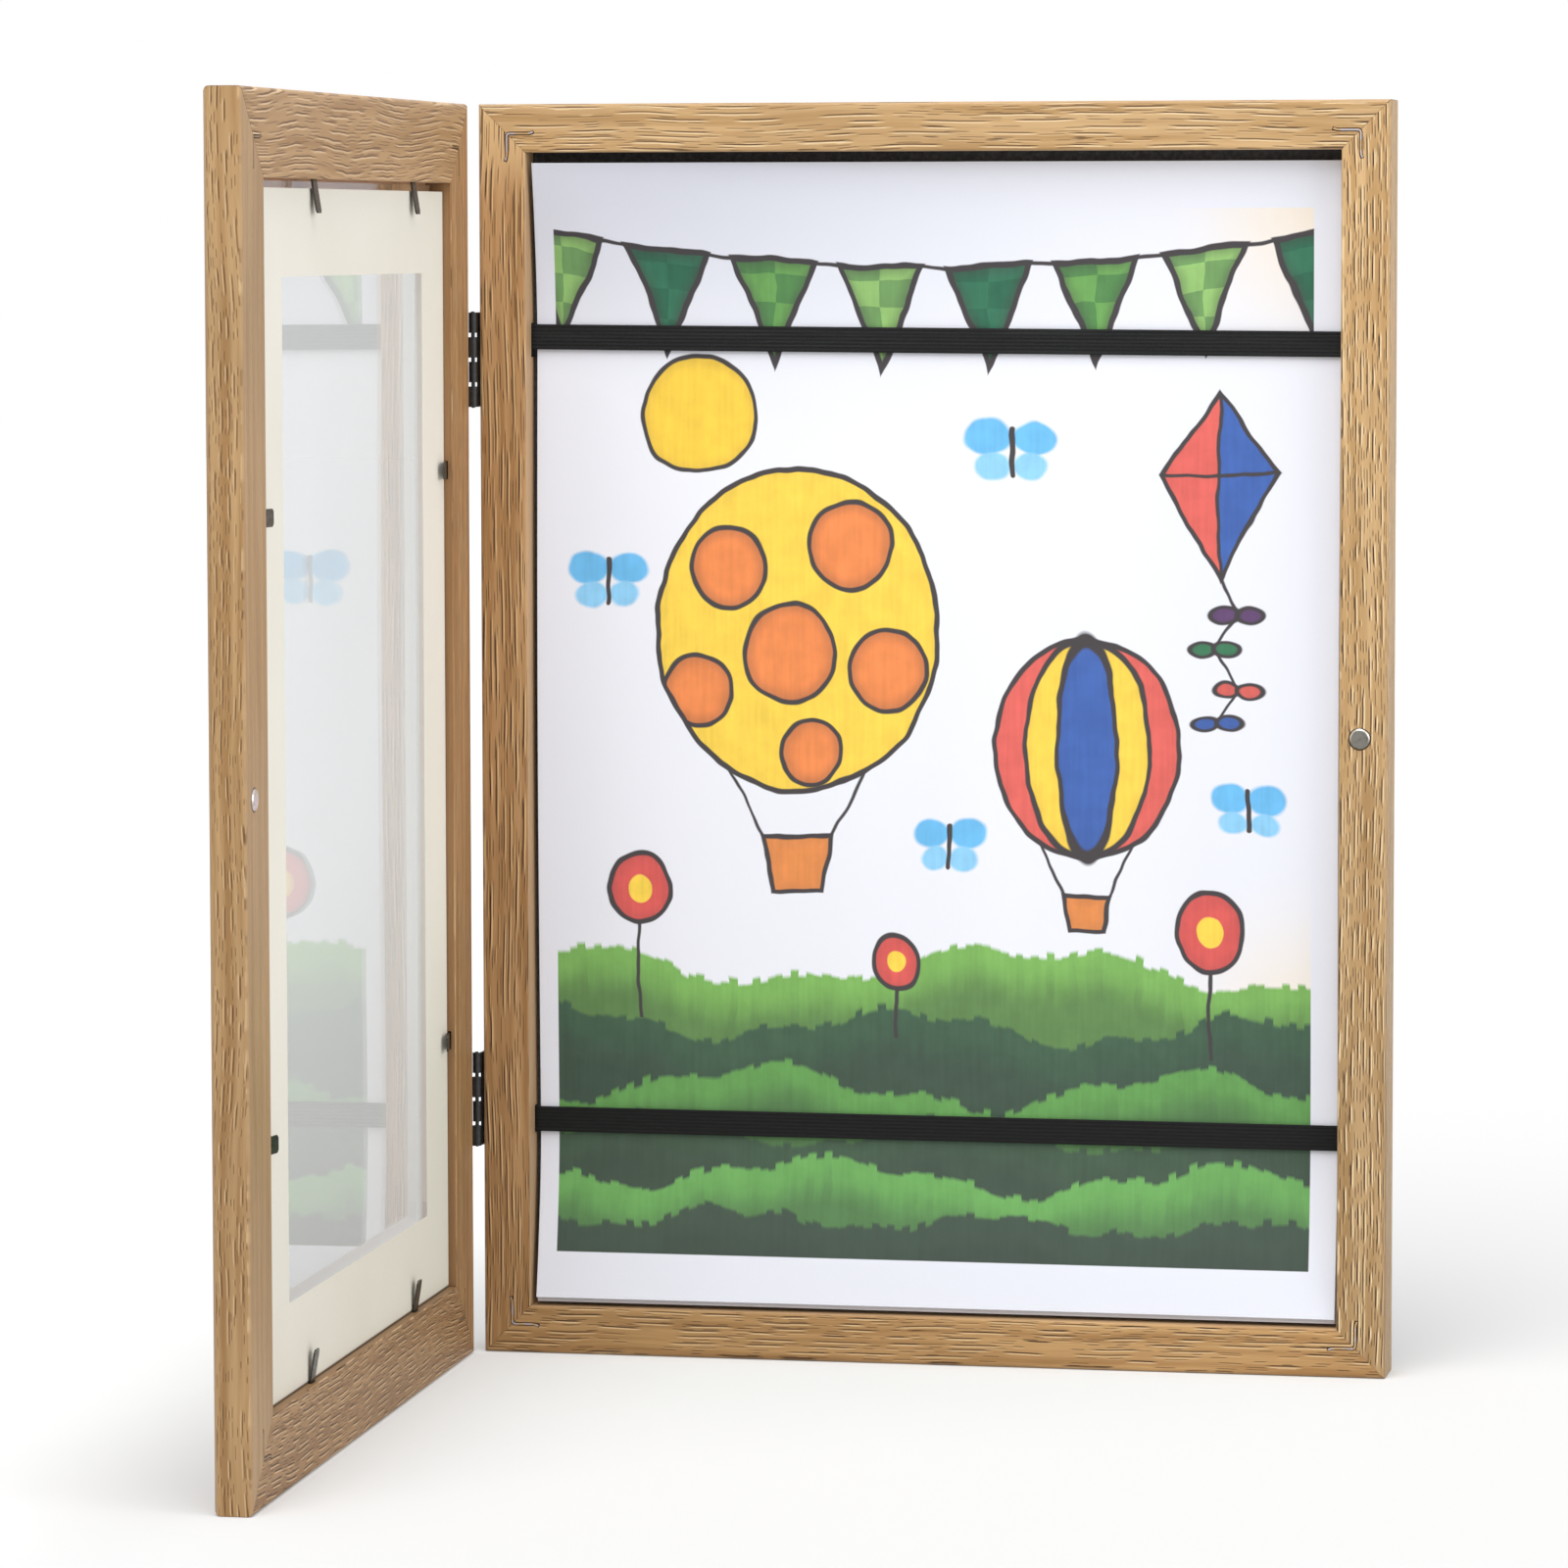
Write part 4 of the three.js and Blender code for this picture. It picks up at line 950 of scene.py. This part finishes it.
def drawBalloon(pen, x, z, rx, rz, gores, basket):
    for share, paint in gores:
        pen.shape(pen.ellipse(x, z, rx * share, rz), paint, halo=0.12)
    half, top, bottom = basket
    for side in (-1, 1):
        pen.outline(pen.line(x + side * rx * 0.5, z - rz * 0.86, x + side * half, top), 0.8)
    corners = [(x - half, top), (x - half * 0.7, bottom), (x + half * 0.7, bottom), (x + half, top)]
    pen.shape(pen.polygon(*corners), drawing["basket"])


def drawSpots(pen, x, z, rx, rz, spots):
    edge = pen.ellipse(x, z, rx, rz)
    for dx, dz, radius in spots:
        spot = pen.ellipse(x + dx, z + dz, radius, radius * 1.05)
        pen.shape(spot, drawing["orange"], within=edge, halo=0.6)
    pen.outline(edge)


def drawKite(pen):
    top, left, bottom, right = drawing["kite"]
    body = pen.polygon(top, left, bottom, right)
    pen.fill(body, drawing["red"])
    pen.fill(pen.polygon(top, bottom, right), drawing["blue"])
    pen.outline(body)
    pen.outline(pen.line(*top, *bottom), 0.9)
    pen.outline(pen.line(*left, *right), 0.9)
    tail = drawing["tail"]
    for start, end in zip(tail, tail[1:]):
        pen.outline(pen.line(*start, *end), 0.8)
    for (x, z), bow in zip(tail[1:], drawing["bows"]):
        for side in (-3.2, 3.2):
            pen.shape(pen.ellipse(x + side, z, *drawing["bow"]), bow, width=0.8)


def drawButterfly(pen, x, z, size):
    upper, lower = drawing["wings"]
    for side in (-1, 1):
        wing = pen.ellipse(x + side * size, z + size * 0.7, size, size * 0.8)
        pen.fill(wing, upper, soft=0.8)
        wing = pen.ellipse(x + side * size * 0.8, z - size * 0.6, size * 0.75, size * 0.6)
        pen.fill(wing, lower, soft=0.8)
    pen.outline(pen.line(x, z - size, x, z + size * 1.1), 1.3)


def drawFlower(pen, x, z, height, radius):
    pen.outline(pen.line(x, z, x, z + height), 1)
    pen.shape(pen.ellipse(x, z + height + radius, radius, radius * 1.15), drawing["petals"])
    pen.fill(pen.ellipse(x, z + height + radius, radius * 0.4, radius * 0.45), drawing["middle"])


def drawnPaper():
    material, tree, shader = newMaterial("drawnPaper", Roughness=0.7, Specular_IOR_Level=0.3)
    flat = output(tree, "ShaderNodeUVMap", uv_map="sheet")
    point = vectorCalc(tree, "MULTIPLY_ADD", flat, (210, 297, 0), (-105, 0, 0))
    shaky = addNode(tree, "ShaderNodeTexNoise", {"Vector": point, "Scale": 0.07, "Detail": 2}).outputs[1]
    shaky = vectorCalc(tree, "MULTIPLY_ADD", shaky, (3.4, 3.4, 0), (-1.7, -1.7, 0))
    pen = Pen(tree, vectorCalc(tree, "ADD", point, shaky))

    x, z = pen.split(point)
    warm = drawing["warm"]
    height = apart(tree, z, warm["middle"])
    share = times(tree, ramp(tree, x, *warm["from"]), ramp(tree, height, *warm["reach"]))
    pen.picture = mixColour(tree, times(tree, share, warm["share"]), pen.picture, warm["colour"])
    drawPennants(pen)
    pen.shape(pen.ellipse(*drawing["sun"]), drawing["sunny"])
    drawBalloon(pen, *drawing["spotted"], [(1, drawing["yellow"])], drawing["spottedBasket"])
    drawSpots(pen, *drawing["spotted"], drawing["spots"])
    gores = [(1, drawing["red"]), (0.68, drawing["yellow"]), (0.32, drawing["blue"])]
    drawBalloon(pen, *drawing["striped"], gores, drawing["stripedBasket"])
    drawKite(pen)
    for butterfly in drawing["butterflies"]:
        drawButterfly(pen, *butterfly)
    drawHills(pen)
    for flower in drawing["flowers"]:
        drawFlower(pen, *flower)

    wash = noise(tree, point, 0.16, 3)
    strokes = noise(tree, vectorCalc(tree, "MULTIPLY", point, (0.8, 0.05, 1)), 1, 2)
    shade = ramp(tree, wash, 0.3, 0.7, 0.94, 1.05)
    shade = times(tree, shade, ramp(tree, strokes, 0.3, 0.7, 0.96, 1.04))
    shade = combined(tree, shade, shade, shade)
    strength = addNode(tree, "ShaderNodeSeparateColor", {0: pen.picture}, mode="HSV").outputs[1]
    strength = affine(tree, strength, 4, -0.6, clamp=True)
    picture = mixColour(tree, strength, pen.picture, mixColour(tree, 1, pen.picture, shade, "MULTIPLY"))
    (lowX, lowZ), (highX, highZ) = drawing["printLow"], drawing["printHigh"]
    middle = ((lowX + highX) / 2, (lowZ + highZ) / 2, 0)
    away = vectorCalc(tree, "ABSOLUTE", vectorCalc(tree, "SUBTRACT", point, middle))
    away = vectorCalc(tree, "SUBTRACT", away, ((highX - lowX) / 2, (highZ - lowZ) / 2, 0))
    sideX, sideZ = pen.split(away)
    inside = affine(tree, calc(tree, "MAXIMUM", sideX, sideZ), -5, 0.5, clamp=True)
    tooth = noise(tree, point, 2.2, 3)
    margin = mixColour(tree, tooth, *drawing["margin"])
    picture = mixColour(tree, inside, margin, picture)
    top, sideways = drawing["shadeTop"]
    shadow = times(tree, ramp(tree, z, *top), ramp(tree, x, *sideways))
    for key, place in (("shadeRight", x), ("shadeLeft", x), ("shadeLow", z)):
        shadow = calc(tree, "MAXIMUM", shadow, ramp(tree, place, *drawing[key]))
    shadow = mixColour(tree, shadow, (1, 1, 1, 1), drawing["shade"])
    setBase(tree, shader, mixColour(tree, 1, picture, shadow, "MULTIPLY"))
    bump(tree, shader, tooth, 0.00001, 0.4)
    return material


paper = plainPaper()
layers = {
    "stackBack": 0.001,
    "stackDepth": 0.0008,
    "spare": {"back": -0.00005, "bottom": 0.0134, "share": 0.8},
    "artwork": {"back": -0.00055, "bottom": 0.0146, "share": 1},
}
finishPiece(makeSheet("drawing", drawnPaper(), **layers["artwork"]), "artwork_sheet")
finishPiece(makeSheet("looseSheet", paper, **layers["spare"]), "spare_sheet")
print("sheets made")


# geometry nodes

def geometryTree(name, *sizes):
    tree = bpy.data.node_groups.new(name, "GeometryNodeTree")
    tree.interface.new_socket("Geometry", in_out="INPUT", socket_type="NodeSocketGeometry")
    for size in sizes:
        kind = "NodeSocketInt" if size in ("Count", "Seed", "Ribs") else "NodeSocketFloat"
        tree.interface.new_socket(size, in_out="INPUT", socket_type=kind)
    tree.interface.new_socket("Material", in_out="INPUT", socket_type="NodeSocketMaterial")
    tree.interface.new_socket("Geometry", in_out="OUTPUT", socket_type="NodeSocketGeometry")
    start = tree.nodes.new("NodeGroupInput")
    return tree, start.outputs


def shifted(tree, geometry, offset):
    inputs = {"Geometry": geometry, "Offset": offset}
    return output(tree, "GeometryNodeSetPosition", inputs)


def closeTree(tree, geometry, material):
    plain = output(tree, "GeometryNodeRealizeInstances", {0: geometry})
    dressed = output(tree, "GeometryNodeSetMaterial", {"Geometry": plain, "Material": material})
    end = tree.nodes.new("NodeGroupOutput")
    tree.links.new(dressed, end.inputs[0])


def grown(name, source, tree, values):
    modifier = source.modifiers.new("build", "NODES")
    modifier.node_group = tree
    for item in tree.interface.items_tree:
        if item.in_out == "INPUT" and item.name in values:
            modifier[item.identifier] = values[item.name]
    graph = bpy.context.evaluated_depsgraph_get()
    mesh = bpy.data.meshes.new_from_object(source.evaluated_get(graph))
    source.modifiers.remove(modifier)
    bpy.data.objects.remove(source)
    mesh.name = name
    return placed(name, mesh)


# the stack: thin sheets, one behind the other, none quite square with the next

stack = {
    "Count": 5,
    "Width": 0.210,
    "Height": 0.297,
    "Thickness": 0.00012,
    "Pitch": 0.00016,
    "Slip": 0.0003,
    "Seed": 7,
    "bottom": 0.0128,
}


def stackTree():
    sizes = ("Count", "Width", "Height", "Thickness", "Pitch", "Slip", "Seed")
    tree, given = geometryTree("stackOfSheets", *sizes)
    size = combined(tree, given["Width"], given["Thickness"], given["Height"])
    block = output(tree, "GeometryNodeMeshCube", {"Size": size})
    step = combined(tree, y=given["Pitch"])
    row = output(tree, "GeometryNodeMeshLine", {"Count": given["Count"], "Offset": step})
    low, high = (scaled(tree, (way, 0, way), given["Slip"]) for way in (-1, 1))
    inputs = {"Min": low, "Max": high, "Seed": given["Seed"]}
    slip = output(tree, "FunctionNodeRandomValue", inputs, data_type="FLOAT_VECTOR")
    row = shifted(tree, row, slip)
    sheets = output(tree, "GeometryNodeInstanceOnPoints", {"Points": row, "Instance": block})
    closeTree(tree, sheets, given["Material"])
    return tree


def makeStack():
    source = placed("stackSource", bpy.data.meshes.new("stackSource"))
    piece = grown("paperStack", source, stackTree(), {**stack, "Material": paper})
    depth = (stack["Count"] - 1) * stack["Pitch"]
    middle = layers["stackBack"] - layers["stackDepth"] / 2 - depth / 2
    place = Matrix.Translation((sheet["shift"], middle, stack["bottom"] + stack["Height"] / 2))
    piece.data.transform(place)
    finishPiece(piece, "sheet_stack")


makeStack()
print("stack made")


# elastic straps

strap = {
    "Width": 0.0065,
    "Thickness": 0.0007,
    "Ribs": 7,
    "Rib Depth": 0.00011,
    "Wobble": 0.00012,
    "tailY": 0.0049,
    "turnX": 0.10985,
    "ledgeY": 0.0006,
    "frontY": -0.00145,
    "pocketX": 0.1053,
    "tail": 0.015,
    "bend": 0.0009,
    "upper": {"height": 0.265, "tilt": 0.45},
    "lower": {"height": 0.061, "tilt": 0.05},
    "cloth": ((13, 14, 15), (23, 24, 25)),
    "rows": (44, 45, 46),
    "lowCloth": (7, 8, 8),
    "lowFade": (0.1, 0.2, 0.85, 0),
}


def strapTree():
    tree, given = geometryTree("ribbedStrap", "Width", "Thickness", "Ribs", "Rib Depth", "Wobble")
    size = {"Width": given["Thickness"], "Height": given["Width"]}
    section = output(tree, "GeometryNodeCurvePrimitiveQuadrilateral", size)
    section = output(tree, "GeometryNodeResampleCurve", {"Curve": section, "Count": 120})
    deep, wide, _ = axes(tree, tree.nodes.new("GeometryNodeInputPosition").outputs[0])
    turns = times(tree, calc(tree, "DIVIDE", wide, given["Width"]), given["Ribs"])
    wave = calc(tree, "COSINE", times(tree, turns, 2 * math.pi))
    hollow = affine(tree, wave, 0.5, -0.5)
    depth = times(tree, hollow, given["Rib Depth"])
    depth = times(tree, depth, calc(tree, "SIGN", deep))
    section = shifted(tree, section, combined(tree, depth))
    inputs = {"Curve": given["Geometry"], "Profile Curve": section, "Fill Caps": True}
    band = output(tree, "GeometryNodeCurveToMesh", inputs)
    drift = output(tree, "ShaderNodeTexNoise", {"Scale": 90, "Detail": 1})
    drift = times(tree, minus(tree, drift, 0.5), given["Wobble"])
    band = shifted(tree, band, combined(tree, z=drift))
    band = output(tree, "GeometryNodeSetShadeSmooth", {0: band, "Shade Smooth": False})
    closeTree(tree, band, given["Material"])
    return tree


def strapPath(values):
    corners = []
    for side in (-1, 1):
        end = [(side * (values["turnX"] - values["tail"]), values["tailY"]),
               (side * values["turnX"], values["tailY"]),
               (side * values["turnX"], values["ledgeY"]),
               (side * values["pocketX"], values["frontY"])]
        corners += end if side < 0 else end[::-1]
    corners = [Vector(corner) for corner in corners]
    path = [corners[0]]
    for before, corner, after in zip(corners, corners[1:], corners[2:]):
        start = corner + (before - corner).normalized() * values["bend"]
        end = corner + (after - corner).normalized() * values["bend"]
        for step in range(7):
            t = step / 6
            path.append(start * (1 - t) ** 2 + corner * 2 * t * (1 - t) + end * t ** 2)
    path.append(corners[-1])
    return path


def elastic():
    material, tree, shader = newMaterial("elastic", Roughness=0.82, Specular_IOR_Level=0.3)
    point = objectPoint(tree)
    weave = noise(tree, point, 2600, 2)
    rows = noise(tree, vectorCalc(tree, "MULTIPLY", point, (30, 2000, 2000)), detail=1)
    base = mixColour(tree, ramp(tree, weave, 0.3, 0.7), *strap["cloth"])
    base = mixColour(tree, ramp(tree, rows, 0.5, 0.75, 0, 0.35), base, strap["rows"])
    z = axes(tree, point)[2]
    # painted shade: the cloth darker towards the bottom, where less light falls
    base = mixColour(tree, ramp(tree, z, *strap["lowFade"]), base, strap["lowCloth"])
    setBase(tree, shader, base)
    bump(tree, shader, weave, 0.00006, 0.7)
    shader.inputs["Sheen Weight"].default_value = 0.05
    return material


def makeStrap(name, pieceName, place, tree, material):
    curve = bpy.data.curves.new(pieceName, "CURVE")
    curve.dimensions = "3D"
    path = strapPath(strap)
    spline = curve.splines.new("POLY")
    spline.points.add(len(path) - 1)
    for point, corner in zip(spline.points, path):
        point.co = (corner.x, corner.y, 0, 1)
    curve.twist_mode = "Z_UP"
    source = placed(pieceName, curve)
    piece = grown(pieceName, source, tree, {**strap, "Material": material})
    piece.data.transform(Matrix.Translation((0, 0, place["height"])) @ turned("Y", place["tilt"]))
    finishPiece(piece, name)


ribbed = strapTree()
elasticCloth = elastic()
for heightName in ("upper", "lower"):
    makeStrap("strap_" + heightName, heightName + "Strap", strap[heightName], ribbed, elasticCloth)
print("straps made")
